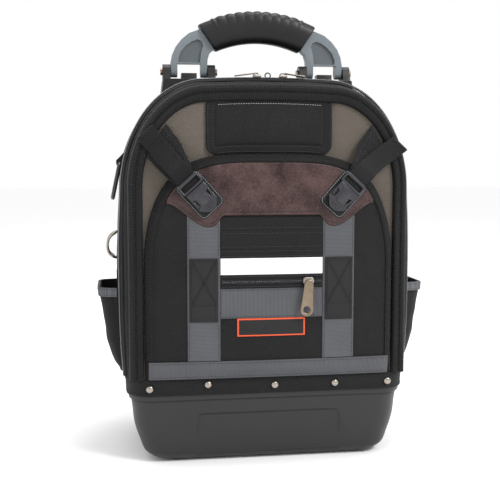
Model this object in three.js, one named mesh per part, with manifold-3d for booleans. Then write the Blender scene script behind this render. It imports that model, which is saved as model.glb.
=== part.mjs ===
// A tool backpack that stands on a moulded tub, with a folding carry handle on top.
// Millimetres, +Z up, the front face looks along -Y, the origin lies under the middle of the tub.
import * as THREE from "three";
import { mergeVertices } from "three/addons/utils/BufferGeometryUtils.js";
import Module from "manifold-3d";

const wasm = await Module();
wasm.setup();

// Driving sizes of the body
const bodyWidth = 340;
const bodyDepth = 210;
const bodyHeight = 352.7;
const cornerRun = 95;
const cornerRise = 123;
const crownRise = 2;
const sideBulge = 12;
const clothWall = 3;
const gap = 0.3;

// Driving sizes of the tub and the riveted skirt
const tubLipZ = 84;
const tubWall = 3;
const tubOverhang = 1;
const tubCornerRadius = 29;
const tubFloor = 4;
const tubPanel = { halfWidth: 88, bottom: 8, top: 60.5, radius: 7, depth: 1 };
const skirtHeight = 22;
const skirtWall = 2;
const skirtFlare = 1.5;
const rivetHeadRadius = 4.4;
const rivetHeadHeight = 2.4;
const rivetShankRadius = 1.5;
const rivetPlay = 0.5;

// Driving sizes of the rims and the two long zips
const rimWidth = 18;
const rimTopShare = 1.15;
const rimHeight = 5.5;
const rimWrap = 8;
const zipTapeHalf = 9.6;
const zipCoilHalf = 3;
const zipTapeThick = 1;
const zipCoilRise = 1.2;
const sliderLength = 10.5;
const sliderWidth = 8;
const sliderHeight = 3.6;
const sliderTabLength = 22;
const topSliderX = { left: -12, right: 20 };

// Driving sizes of the front pocket and what is sewn on it
const pocketSideGap = 0.8;
const pocketTopShare = 0.7647;
const pocketShoulderShare = 0.379;
const pocketDepth = 14.6;
const pocketBow = 5;
const pocketWall = 2;
const bindingWidth = 10;
const bindingRise = 1.8;
const bindingFoot = 130;
const leatherThick = 1.6;
const leatherInset = 26.7;
const tapeThick = 1.2;
const webbingWidth = 39;
const webbingInset = 23.5;
const patchHeight = 76;
const patchMargin = 2.6;
const leatherShare = 0.5594;
const lobeDrop = 13.6;
const upperBandDrop = 2.3;
const stripeDrop = 51;
const stripeHeight = 19.8;
const pocketZipHeight = 16.4;
const webPanelHeight = 35.8;
const label = { left: -42, right: 40.5, height: 21.8 };
const greyBandHeight = 22.7;
const greyBandInset = 4.2;
const flap = { overhang: 2, thick: 3.2, puff: 3.5, hang: 4 };

// Driving sizes of the buckles, their wings and their loose ends
const buckleInset = 15;
const buckleRise = 24.4;
const buckleTurn = THREE.MathUtils.degToRad(48);
const padHalfWidth = 15.5;
const padHalfLength = 24;
const padThick = 1.6;
const socketHalfWidth = 13.5;
const socketInset = 1.5;
const socketMouth = 9.4;
const socketThick = 7;
const plugThick = 4;
const plugBar = 3.6;
const slotLength = 7;
const tailHalfWidth = 12.2;
const tailThick = 1.5;
const wingRun = 47.4;
const wingWidth = 43;
const wingThick = 1.5;
const tailReach = { left: 97, right: 93 };

// Driving sizes of the small fittings
const pocketSlider = { inset: 18, length: 13, width: 9, height: 4.5 };
const pullLength = 43.5;
const pullWidth = 15.5;
const pullThick = 2.2;
const pullLean = 3;
const ringHeight = 50;
const ringRise = 35;
const ringY = -38;
const ringLean = THREE.MathUtils.degToRad(12);
const ringWidth = 36;
const ringWire = 2.6;
const ringTabHalf = 7;
const ringTabThick = 1.4;
const clipWire = 1.5;
const clipReach = 10.5;
const clipSpan = 24;
const clipFront = -60;
const clipHeight = 32;
const clipShare = 0.45;

// Driving sizes of the side pockets
const sidePocketReach = 21;
const sidePocketFront = -66;
const sidePocketBack = 24;
const sidePocketHeight = 103;
const sidePocketLift = 3.7;
const sidePocketBend = 14;
const sidePocketSeat = 5;
const sidePocketWall = 2;
const pocketTrimHeight = 11;
const pocketTrimThick = 1.2;

// Driving sizes of the handle and its brackets
const pivotRise = 22;
const armReach = 36.6;
const armWidth = 46.8;
const legWidth = 8.6;
const armThick = 14;
const webThick = 8;
const windowRise = 10;
const earWidth = 9.6;
const earRadius = 9.6;
const earGap = 0.5;
const bracketHalfDepth = 20;
const bracketDrop = 10;
const bracketHeight = 25;
const blockDrop = 1.7;
const blockInset = 13.6;
const blockHalfDepth = 7.5;
const boltRadius = 3;
const boltHeadRadius = 4.4;
const boltHeadHeight = 2.6;
const boltPlay = 0.45;
const gripRise = 77;
const gripEndReach = 12.2;
const gripEndRise = 59.5;
const gripUnderReach = 10.8;
const gripUnderRise = 37.5;
const gripUnderEndRise = 26;
const gripHalfDepth = 14;
const gripRidges = 9;
const gripRidgeRise = 1.3;
const tangShare = 0.45;
const tangLength = 0.16;

// Driving sizes of the padded back and the shoulder straps
const backPadThick = 12;
const strapWidth = 60;
const strapThick = 12;
const strapWebbingWidth = 25;
const strapWebbingThick = 2.4;

// Sizes that follow from the driving ones
const halfWidth = bodyWidth / 2;
const facePlane = bodyDepth / 2 - 1;
const cornerX = halfWidth - cornerRun;
const skirtTop = tubLipZ + skirtHeight;
const bodyFoot = skirtTop + gap;
const bodyTop = bodyFoot + bodyHeight;
const shoulderZ = bodyTop - crownRise - cornerRise;
const pocketTop = bodyFoot + bodyHeight * pocketTopShare;
const pocketShoulder = bodyFoot + bodyHeight * pocketShoulderShare;
const leatherEdge = bodyFoot + bodyHeight * leatherShare;
const stripeTop = leatherEdge - stripeDrop;
const stripeBottom = stripeTop - stripeHeight;
const webPanelTop = stripeBottom - pocketZipHeight;
const webPanelBottom = webPanelTop - webPanelHeight;
const patchTop = stripeTop + gap;
const patchBottom = patchTop - patchHeight;
const greyBandTop = bodyFoot + greyBandHeight;
const webbingFoot = greyBandTop + gap * 2;
const buckleZ = leatherEdge + buckleRise;
const sidePocketFoot = bodyFoot + sidePocketLift;
const sidePocketTop = sidePocketFoot + sidePocketHeight;
const clipMiddle = bodyFoot + bodyHeight * clipShare;
const clipTop = clipMiddle + clipHeight / 2;
const clipFoot = clipMiddle - clipHeight / 2;
const pivotZ = bodyTop + pivotRise;
const armOuter = cornerX + armReach;
const armInner = armOuter - armWidth;
const gripEndHalf = armInner + gripEndReach;
const gripUnderHalf = armInner - gripUnderReach;
const bracketTop = pivotZ - bracketDrop;
const bracketFoot = bracketTop - bracketHeight;
const tubHalfWidth = halfWidth + tubOverhang;
const tubHalfDepth = facePlane;
const pocketHalfWidth = halfWidth - rimWidth - pocketSideGap;
const greyBandHalf = pocketHalfWidth - greyBandInset;
const leatherHalfWidth = pocketHalfWidth - leatherInset;
const webbingOuter = leatherHalfWidth - webbingInset;
const webbingInner = webbingOuter - webbingWidth;
const buckleX = webbingOuter - buckleInset;

const colours = {
  taupe: 0x645f5a,
  blackCloth: 0x303032,
  rim: 0x333333,
  leather: 0x4f3f3c,
  greyWeb: 0x6a6c70,
  patch: 0x3c3c3c,
  white: 0xf4f4f4,
  orange: 0xcc654a,
  tub: 0x474747,
  grip: 0x49494c,
  arm: 0x8a9298,
  bracket: 0x4c4b4f,
  brass: 0x73675a,
  nickel: 0xb8b4ac,
  buckle: 0x57575d,
};

// Small tools

function lerp(a, b, share) {
  return a + (b - a) * share;
}

// Straight-line reading of a table of [where, value] rows.
function readTable(rows, where) {
  if (where <= rows[0][0]) return rows[0][1];
  for (let i = 1; i < rows.length; i++) {
    if (where <= rows[i][0]) {
      const share = (where - rows[i - 1][0]) / (rows[i][0] - rows[i - 1][0]);
      return lerp(rows[i - 1][1], rows[i][1], share);
    }
  }
  return rows[rows.length - 1][1];
}

function spread(count, from, to) {
  return Array.from({ length: count + 1 }, (_, i) => lerp(from, to, i / count));
}

function signedVolume(points, faces) {
  return faces.reduce((sum, [a, b, c]) => {
    const [p, q, r] = [points[a], points[b], points[c]];
    return sum + p[0] * (q[1] * r[2] - q[2] * r[1])
      - p[1] * (q[0] * r[2] - q[2] * r[0])
      + p[2] * (q[0] * r[1] - q[1] * r[0]);
  }, 0) / 6;
}

// A geometry whose faces point out, whichever way round its rings were given.
function closedGeometry(points, faces) {
  const turned = signedVolume(points, faces) < 0 ? faces.map(([a, b, c]) => [a, c, b]) : faces;
  const geometry = new THREE.BufferGeometry();
  geometry.setAttribute("position", new THREE.Float32BufferAttribute(points.flat(), 3));
  geometry.setIndex(turned.flat());
  return geometry;
}

// Triangles over a flat ring, turned the same way as the ring itself.
function capFaces(ring, offset, reversed) {
  const normal = new THREE.Vector3();
  ring.forEach((p, i) => {
    const q = ring[(i + 1) % ring.length];
    normal.x += (p[1] - q[1]) * (p[2] + q[2]);
    normal.y += (p[2] - q[2]) * (p[0] + q[0]);
    normal.z += (p[0] - q[0]) * (p[1] + q[1]);
  });
  const size = [Math.abs(normal.x), Math.abs(normal.y), Math.abs(normal.z)];
  const axis = size.indexOf(Math.max(...size));
  const [u, v] = [[1, 2], [2, 0], [0, 1]][axis];
  const flat = ring.map((p) => new THREE.Vector2(p[u], p[v]));
  const ringTurn = Math.sign(THREE.ShapeUtils.area(flat));
  return THREE.ShapeUtils.triangulateShape(flat, []).map(([a, b, c]) => {
    const turn = Math.sign(THREE.ShapeUtils.area([flat[a], flat[b], flat[c]]));
    const kept = (turn === ringTurn) !== reversed;
    return (kept ? [a, b, c] : [a, c, b]).map((i) => i + offset);
  });
}

// Triangles over a ring that is the same on both sides: rungs from each point to its twin.
function rungFaces(ring, offset, reversed) {
  const count = ring.length;
  const faces = [];
  for (let i = 0; i < Math.floor((count - 1) / 2); i++) {
    const [a, b, c, d] = [i, i + 1, count - 2 - i, count - 1 - i];
    faces.push([a, b, c]);
    if (b !== c) faces.push([a, c, d]);
    if (b === c) faces[faces.length - 1] = [a, b, d];
  }
  return faces.map(([a, b, c]) => (reversed ? [a, c, b] : [a, b, c]).map((i) => i + offset));
}

// The surface through rings of equal length: capped at both ends, or closed on itself.
function loft(rings, closed = false, capOf = capFaces) {
  const count = rings[0].length;
  const points = rings.flat();
  const faces = [];
  const spans = closed ? rings.length : rings.length - 1;
  for (let i = 0; i < spans; i++) {
    for (let j = 0; j < count; j++) {
      const a = i * count + j;
      const b = i * count + ((j + 1) % count);
      const c = ((i + 1) % rings.length) * count + j;
      const d = ((i + 1) % rings.length) * count + ((j + 1) % count);
      faces.push([a, b, d], [a, d, c]);
    }
  }
  if (!closed) {
    faces.push(...capOf(rings[0], 0, true));
    faces.push(...capOf(rings[rings.length - 1], (rings.length - 1) * count, false));
  }
  return closedGeometry(points, faces);
}

// A sheet with two faces: at(u, v, side) gives the point, side 0 on the inner face and 1 on the outer.
// Its columns and rows are a count of equal steps, or a list of shares from 0 to 1.
function slab(columns, rows, at) {
  const sharesU = Array.isArray(columns) ? columns : spread(columns, 0, 1);
  const sharesV = Array.isArray(rows) ? rows : spread(rows, 0, 1);
  const across = sharesU.length - 1;
  const along = sharesV.length - 1;
  const points = [];
  [0, 1].forEach((side) => {
    sharesV.forEach((v) => sharesU.forEach((u) => points.push(at(u, v, side))));
  });
  const row = across + 1;
  const face = row * (along + 1);
  const id = (i, j, side) => side * face + j * row + i;
  const faces = [];
  const quad = (a, b, c, d) => faces.push([a, b, c], [a, c, d]);
  for (let j = 0; j < along; j++) {
    for (let i = 0; i < across; i++) {
      quad(id(i, j, 0), id(i, j + 1, 0), id(i + 1, j + 1, 0), id(i + 1, j, 0));
      quad(id(i, j, 1), id(i + 1, j, 1), id(i + 1, j + 1, 1), id(i, j + 1, 1));
    }
  }
  for (let i = 0; i < across; i++) {
    quad(id(i, 0, 0), id(i + 1, 0, 0), id(i + 1, 0, 1), id(i, 0, 1));
    quad(id(i + 1, along, 0), id(i, along, 0), id(i, along, 1), id(i + 1, along, 1));
  }
  for (let j = 0; j < along; j++) {
    quad(id(0, j + 1, 0), id(0, j, 0), id(0, j, 1), id(0, j + 1, 1));
    quad(id(across, j, 0), id(across, j + 1, 0), id(across, j + 1, 1), id(across, j, 1));
  }
  return closedGeometry(points, faces);
}

// A section carried along a path: width lies in the plane of the path's run and +X, rise along +Y.
function sweep(path, section, closed = false) {
  const at = (i) => path[(i + path.length) % path.length];
  const rings = path.map((point, i) => {
    const before = closed ? at(i - 1) : path[Math.max(0, i - 1)];
    const after = closed ? at(i + 1) : path[Math.min(path.length - 1, i + 1)];
    const run = new THREE.Vector3(...after).sub(new THREE.Vector3(...before)).normalize();
    const side = new THREE.Vector3().crossVectors(new THREE.Vector3(0, 1, 0), run).normalize();
    const rise = new THREE.Vector3().crossVectors(run, side);
    return section(i).map(([w, h]) => [
      point[0] + side.x * w + rise.x * h,
      point[1] + side.y * w + rise.y * h,
      point[2] + side.z * w + rise.z * h,
    ]);
  });
  return loft(rings, closed);
}

function circle(radius, sides) {
  return Array.from({ length: sides }, (_, i) => {
    const angle = ((i + 0.5) / sides) * 2 * Math.PI;
    return [radius * Math.cos(angle), radius * Math.sin(angle)];
  });
}

function roundedRect(halfX, halfY, radius, steps = 4) {
  const points = [];
  [[1, 1, 0], [-1, 1, 1], [-1, -1, 2], [1, -1, 3]].forEach(([sx, sy, quarter]) => {
    spread(steps, 0, 1).forEach((share) => {
      const angle = (quarter + share) * (Math.PI / 2);
      points.push([
        sx * (halfX - radius) + radius * Math.cos(angle),
        sy * (halfY - radius) + radius * Math.sin(angle),
      ]);
    });
  });
  return points;
}

function shapeOf(points) {
  return new THREE.Shape(points.map(([x, y]) => new THREE.Vector2(x, y)));
}

function prism(shape, depth) {
  return new THREE.ExtrudeGeometry(shape, { depth, bevelEnabled: false, curveSegments: 5 });
}

// A shape drawn in X and Z, filled between two planes of Y.
function prismY(points, fromY, toY) {
  const geometry = prism(shapeOf(points), toY - fromY);
  geometry.rotateX(Math.PI / 2);
  return geometry.translate(0, toY, 0);
}

// A shape drawn in Y and Z, filled between two planes of X.
function prismX(points, fromX, toX) {
  const geometry = prism(shapeOf(points), toX - fromX);
  const basis = new THREE.Matrix4().makeBasis(
    new THREE.Vector3(0, 1, 0), new THREE.Vector3(0, 0, 1), new THREE.Vector3(1, 0, 0));
  return geometry.applyMatrix4(basis).translate(fromX, 0, 0);
}

function box(fromX, toX, fromY, toY, fromZ, toZ) {
  const geometry = new THREE.BoxGeometry(toX - fromX, toY - fromY, toZ - fromZ);
  return geometry.translate((fromX + toX) / 2, (fromY + toY) / 2, (fromZ + toZ) / 2);
}

function mirrored(geometry) {
  const flipped = mergeVertices(bare(geometry), 1e-3);
  const position = flipped.getAttribute("position");
  const points = Array.from({ length: position.count }, (_, i) =>
    [-position.getX(i), position.getY(i), position.getZ(i)]);
  const faces = [];
  for (let i = 0; i < flipped.index.count; i += 3) {
    faces.push([0, 1, 2].map((k) => flipped.index.getX(i + k)));
  }
  return closedGeometry(points, faces);
}

// The geometry with only its positions left.
function bare(geometry) {
  const copy = geometry.clone();
  copy.deleteAttribute("normal");
  copy.deleteAttribute("uv");
  return copy;
}

function toSolid(geometry) {
  const merged = mergeVertices(bare(geometry), 1e-3);
  return new wasm.Manifold(new wasm.Mesh({
    numProp: 3,
    vertProperties: merged.attributes.position.array,
    triVerts: new Uint32Array(merged.index.array),
  }));
}

function toGeometry(solid) {
  const mesh = solid.getMesh();
  const geometry = new THREE.BufferGeometry();
  geometry.setAttribute("position", new THREE.BufferAttribute(mesh.vertProperties, 3));
  geometry.setIndex(new THREE.BufferAttribute(mesh.triVerts, 1));
  return geometry;
}

function joined(first, ...others) {
  return others.reduce((solid, geometry) => solid.add(toSolid(geometry)), toSolid(first));
}

function cut(solid, ...tools) {
  return tools.reduce((rest, geometry) => rest.subtract(toSolid(geometry)), solid);
}

const backpack = new THREE.Group();

function piece(name, geometry, colour, finish = {}, parent = backpack) {
  const material = new THREE.MeshStandardMaterial({ color: colour, roughness: 0.9, metalness: 0, ...finish });
  const mesh = new THREE.Mesh(geometry, material);
  mesh.name = name;
  parent.add(mesh);
  return mesh;
}

// The arch of the body: one side wall, a rounded corner, the crown, and back down

// How far the side wall swells out at each height, as shares of the body's top and of the swell.
const bulgeByHeight = [
  [0.23, 0.5], [0.305, 0.76], [0.42, 0.97], [0.53, 1], [0.63, 0.88], [0.73, 0.62], [0.86, 0.55], [1, 0.75],
];
// How the swell comes in from the faces, as shares of half the depth and of the swell.
const bulgeByDepth = [[0, 1], [0.48, 1], [0.65, 0.84], [0.84, 0.38], [0.9, 0.05], [0.915, 0]];
// Where the wall steps in under the rim's wrap, as shares of half the depth and of the wall.
const tuckByDepth = [[0.84, 0], [0.9, 0.1], [0.915, 1]];
const wallShares = [0, 0.15, 0.37, 0.6, 0.8];
const cornerSteps = 6;
const crownSteps = 3;

// One station of the arch: place(insetX, insetZ) gives [x, z] that far inside the outline.
function archStations() {
  const right = [];
  wallShares.forEach((share) => right.push((insetX) =>
    [halfWidth - insetX, lerp(bodyFoot, shoulderZ, share)]));
  spread(cornerSteps, 0, Math.PI / 2).forEach((angle) => right.push((insetX, insetZ) => [
    cornerX + (cornerRun - insetX) * Math.cos(angle),
    shoulderZ + (cornerRise - insetZ) * Math.sin(angle),
  ]));
  spread(crownSteps, 1, -1).slice(1, -1).forEach((share) => right.push((_, insetZ) =>
    [cornerX * share, bodyTop - insetZ - crownRise * share * share]));
  const left = right.slice(0, right.length - (crownSteps - 1)).reverse().map((place) =>
    (insetX, insetZ) => {
      const [x, z] = place(insetX, insetZ);
      return [-x, z];
    });
  return [...right, ...left];
}
const arch = archStations();

function swell(y, z) {
  const depth = Math.abs(y) / (bodyDepth / 2);
  return sideBulge * readTable(bulgeByHeight, z / bodyTop) * readTable(bulgeByDepth, depth)
    - clothWall * readTable(tuckByDepth, depth);
}

// The line of the body's skin at a depth, lifted off it by a distance.
function skinLine(y, lift) {
  return arch.map((place) => {
    const [, z] = place(0, 0);
    const out = swell(y, z) + lift;
    const [x, height] = place(-out, -out);
    return [x, y, height];
  });
}

// The skin's own X on the right side at a depth and a height below the shoulder.
function skinX(y, z) {
  return halfWidth + swell(y, z);
}

const depthStations = [-0.99, -0.915, -0.9, -0.84, -0.65, -0.48, 0, 0.48, 0.65, 0.84, 0.9, 0.915, 0.99]
  .map((share) => (share * bodyDepth) / 2);

// The body as one filled solid, grown by a clearance, for cutting what sits on it.
function bodyFill(clearance) {
  const foot = bodyFoot - 20;
  const rings = depthStations.map((y) => {
    const line = skinLine(y, clearance);
    return [[line[0][0], y, foot], ...line, [line[line.length - 1][0], y, foot]];
  });
  return loft(rings);
}

function bodyGusset() {
  const rings = depthStations.map((y) => [...skinLine(y, 0), ...skinLine(y, -clothWall).reverse()]);
  piece("body_gusset", loft(rings), colours.blackCloth);
}

// A flat panel that closes one face of the body, inside the gusset's wall.
function archRing(inset, y, footRise) {
  return arch.map((place, i) => {
    const [x, z] = place(inset, inset * rimTopShare);
    const atFoot = i === 0 || i === arch.length - 1;
    return [x, y, atFoot ? z + footRise : Math.max(z, bodyFoot + footRise + 1)];
  });
}

const panelInset = clothWall * 2 + gap + sideBulge * 0.02;

function frontPanel() {
  const rings = [archRing(panelInset, -facePlane + clothWall, 0), archRing(panelInset, -facePlane, 0)];
  piece("front_panel", loft(rings, false, rungFaces), colours.taupe);
}

// The back pad rises inside the rim, as shares of the pad's thickness.
const backPadRows = [
  { inset: 1.04, foot: 0, rise: 0 },
  { inset: 1.35, foot: 4, rise: 0.5 },
  { inset: 1.9, foot: 11, rise: 0.86 },
  { inset: 3.2, foot: 26, rise: 1 },
];

function backPanel() {
  const rings = [
    archRing(panelInset, facePlane - clothWall, 0),
    archRing(panelInset, facePlane, 0),
    ...backPadRows.map((row) => archRing(rimWidth * row.inset, facePlane + backPadThick * row.rise, row.foot)),
  ];
  piece("back_panel", loft(rings, false, rungFaces), colours.blackCloth);
}

// The rim's section: inset across the face as shares of its width, rise off the face as shares of its height.
const rimSection = [
  { inset: 0, rise: -1.45 },
  { inset: 0, rise: 0 },
  { inset: 0.16, rise: 0.88 },
  { inset: 0.38, rise: 0.98 },
  { inset: 0.48, rise: 0.62 },
  { inset: 0.58, rise: 1 },
  { inset: 0.84, rise: 1 },
  { inset: 1, rise: 0.45 },
  { inset: 1, rise: 0 },
];

function rim(name, side) {
  const wallInset = clothWall - gap;
  const rings = arch.map((place) => {
    const ring = rimSection.map(({ inset, rise }) => {
      const [x, z] = place(inset * rimWidth, inset * rimWidth * rimTopShare);
      return [x, side * (facePlane + gap + rise * rimHeight), z];
    });
    const inner = [facePlane + gap, facePlane + gap - rimWrap].map((y) => {
      const [x, z] = place(wallInset, wallInset);
      return [x, side * y, z];
    });
    return [...ring, ...inner];
  });
  piece(name, loft(rings), colours.rim);
}

// A zip that follows the side wall up, over and down: two tapes with a raised coil between them.
const zipMiddle = 0.745 * (bodyDepth / 2);
const zipSeat = gap * 2.7;

function longZip(name, side) {
  const half = zipTapeHalf;
  const face = zipSeat + zipTapeThick;
  const section = [
    [-half, zipSeat], [half, zipSeat], [half, zipSeat + zipTapeThick * 0.6], [zipCoilHalf, face],
    [zipCoilHalf * 0.6, face + zipCoilRise], [-zipCoilHalf * 0.6, face + zipCoilRise],
    [-zipCoilHalf, face], [-half, zipSeat + zipTapeThick * 0.6],
  ];
  const lines = section.map(([offset, lift]) => skinLine(side * (zipMiddle + offset), lift));
  const rings = arch.map((_, i) => lines.map((line) => line[i]));
  piece(name, loft(rings), colours.blackCloth);
}

function topSlider(name, x) {
  const y = -zipMiddle;
  const seat = bodyTop + swell(y, bodyTop) + zipSeat + zipTapeThick + zipCoilRise + gap;
  const halfLength = sliderLength / 2;
  const halfSlider = sliderWidth / 2;
  const stud = 1.6;
  const solid = joined(
    box(x - halfLength, x + halfLength, y - halfSlider, y + halfSlider, seat, seat + sliderHeight * 0.4),
    box(x - halfLength * 0.6, x + halfLength * 0.6, y - stud, y + stud, seat, seat + sliderHeight),
    box(x - stud * 2, x + stud * 2, y - stud, y + sliderTabLength, seat + sliderHeight * 0.6, seat + sliderHeight),
  );
  piece(name, toGeometry(solid), colours.nickel, { metalness: 0.9, roughness: 0.3 });
}

// The tub

// Its wall from the floor up, as shares of the lip height, the half width, the half depth and the radius.
const tubRows = [
  { z: 0, width: 0.76, depth: 0.8, corner: 0.55 },
  { z: 0.04, width: 0.82, depth: 0.87, corner: 0.7 },
  { z: 0.15, width: 0.89, depth: 0.93, corner: 0.85 },
  { z: 0.3, width: 0.92, depth: 0.95, corner: 0.95 },
  { z: 0.56, width: 0.96, depth: 0.97, corner: 1 },
  { z: 0.93, width: 0.985, depth: 0.985, corner: 1 },
  { z: 0.95, width: 1, depth: 1, corner: 1 },
];

const tubCornerSteps = 3;

function tubRing(row, z, wall) {
  const outline = roundedRect(tubHalfWidth * row.width - wall, tubHalfDepth * row.depth - wall,
    tubCornerRadius * row.corner - wall, tubCornerSteps);
  return outline.map(([x, y]) => [x, y, z]);
}

function tubFill(wall) {
  const rings = tubRows.map((row) => tubRing(row, row.z * tubLipZ, wall));
  rings.push(tubRing(tubRows[tubRows.length - 1], skirtTop, wall));
  return rings;
}

// Across the front, as shares of the tub's half width, and up, as shares of the skirt's height.
const rivetPlaces = [
  { across: -0.854, up: 0.5 },
  { across: -0.444, up: 0.66 },
  { across: 0.035, up: 0.52 },
  { across: 0.474, up: 0.52 },
  { across: 0.865, up: 0.52 },
];

function rivetAt({ across, up }) {
  return { x: tubHalfWidth * across, z: lerp(tubLipZ, skirtTop, up) };
}

function rod(radius, sides, x, z, fromY, toY) {
  return prismY(circle(radius, sides).map(([dx, dz]) => [x + dx, z + dz]), fromY, toY);
}

function baseTub() {
  const outer = tubFill(0);
  const inner = tubFill(tubWall).filter((ring) => ring[0][2] > tubFloor);
  const floorRow = tubRows[2];
  const floorRing = tubRing(floorRow, tubFloor, tubWall + 4);
  const shell = toSolid(loft([...outer, ...inner.reverse(), floorRing]));
  const { halfWidth: half, bottom, top, radius, depth } = tubPanel;
  const middle = (bottom + top) / 2;
  const outline = roundedRect(half, (top - bottom) / 2, radius).map(([x, z]) => [x, z + middle]);
  const skin = toSolid(prismY(outline, -tubHalfDepth - 10, -tubHalfDepth / 2)).subtract(toSolid(loft(tubFill(depth))));
  const bores = rivetPlaces.map(rivetAt).map(({ x, z }) =>
    rod(rivetShankRadius + rivetPlay, 8, x, z, -tubHalfDepth - 10, -tubHalfDepth / 2));
  const solid = cut(shell.subtract(skin), ...bores);
  piece("base_tub", toGeometry(solid), colours.tub, { roughness: 0.6 });
}

function skirt() {
  const ring = (grow, z) => roundedRect(
    tubHalfWidth + grow, tubHalfDepth + grow, tubCornerRadius + grow, tubCornerSteps).map(([x, y]) => [x, y, z]);
  const foot = tubLipZ + 1;
  const rings = [
    ring(gap, foot), ring(gap + skirtWall, foot), ring(gap + skirtWall + skirtFlare, skirtTop), ring(gap, skirtTop),
  ];
  const bores = rivetPlaces.map(rivetAt).map(({ x, z }) =>
    rod(rivetShankRadius + rivetPlay, 8, x, z, -tubHalfDepth - 10, -tubHalfDepth / 2));
  piece("skirt", toGeometry(cut(toSolid(loft(rings, true)), ...bores)), colours.blackCloth);
}

function rivets() {
  rivetPlaces.map(rivetAt).forEach(({ x, z }, i) => {
    const seat = gap * 2 + skirtWall + skirtFlare * ((z - tubLipZ) / (skirtTop - tubLipZ)) + 0.2;
    const profile = [
      [0, 0], [rivetShankRadius, 0], [rivetShankRadius, tubWall + seat], [rivetHeadRadius, tubWall + seat],
      [rivetHeadRadius * 0.92, tubWall + seat + rivetHeadHeight * 0.45],
      [rivetHeadRadius * 0.6, tubWall + seat + rivetHeadHeight * 0.85], [0, tubWall + seat + rivetHeadHeight],
    ].map(([radius, along]) => new THREE.Vector2(radius, along));
    const mesh = piece("rivet_" + (i + 1), new THREE.LatheGeometry(profile, 8), colours.nickel,
      { metalness: 0.9, roughness: 0.3 });
    mesh.rotation.x = Math.PI;
    mesh.position.set(x, -tubHalfDepth + tubWall, z);
  });
}

// The front pocket: an arch that rises from the front panel with rounded edges

const pocketRise = pocketTop - pocketShoulder;
const archPower = { x: 4, z: 2.15 };
const pocketArchSteps = 10;

// How the pocket's face falls off to its edge: inset in millimetres against the share of its depth.
const pocketEdge = [[0, 0], [0.2 * bindingWidth, 0.45], [0.55 * bindingWidth, 0.8], [bindingWidth, 0.97],
  [1.8 * bindingWidth, 1]];
// How it falls off towards the skirt: height above the foot as a share of the grey band.
const pocketFootFade = [[0, 0.42], [0.6, 0.84], [1.5, 1]];

const pocketWallZ = [...pocketFootFade.slice(1).map(([up]) => lerp(bodyFoot, greyBandTop, up)),
  lerp(bodyFoot, pocketShoulder, 0.6)];

// The pocket's outline from the right foot over the arch to the left foot, at an inset.
function pocketLine(inset, footZ) {
  const half = pocketHalfWidth - inset;
  const rise = pocketRise - inset;
  const right = pocketWallZ.filter((z) => z > footZ + 1).map((z) => [half, z]);
  right.unshift([half, footZ]);
  spread(pocketArchSteps, 1, 0).forEach((share) => {
    const angle = (Math.PI / 2) * share ** 1.5;
    right.push([half * Math.sin(angle) ** (2 / archPower.x),
      pocketShoulder + rise * Math.cos(angle) ** (2 / archPower.z)]);
  });
  const left = right.slice(0, -1).reverse().map(([x, z]) => [-x, z]);
  return [...right, ...left];
}

function pocketFace(x, z, inset = pocketHalfWidth - Math.abs(x)) {
  const bow = pocketBow * (x / pocketHalfWidth) ** 2;
  const fade = readTable(pocketFootFade, (z - bodyFoot) / (greyBandTop - bodyFoot));
  return -facePlane - gap - (pocketDepth - bow) * readTable(pocketEdge, inset) * fade;
}

// The top of the arch at a given X, at an inset.
function pocketCrest(x, inset) {
  const share = Math.min(1, Math.abs(x) / (pocketHalfWidth - inset)) ** archPower.x;
  return pocketShoulder + (pocketRise - inset) * (1 - share) ** (1 / archPower.z);
}

function pocketSolid() {
  const insets = pocketEdge.map(([inset]) => inset);
  const outer = insets.map((inset) => pocketLine(inset, bodyFoot).map(([x, z]) => [x, pocketFace(x, z, inset), z]));
  const inner = insets.map((inset) => pocketLine(inset + pocketWall, bodyFoot + pocketWall).map(([x, z]) =>
    [x, Math.min(-facePlane - gap, pocketFace(x, z, inset) + pocketWall), z]));
  return domed(outer, inner);
}

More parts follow.
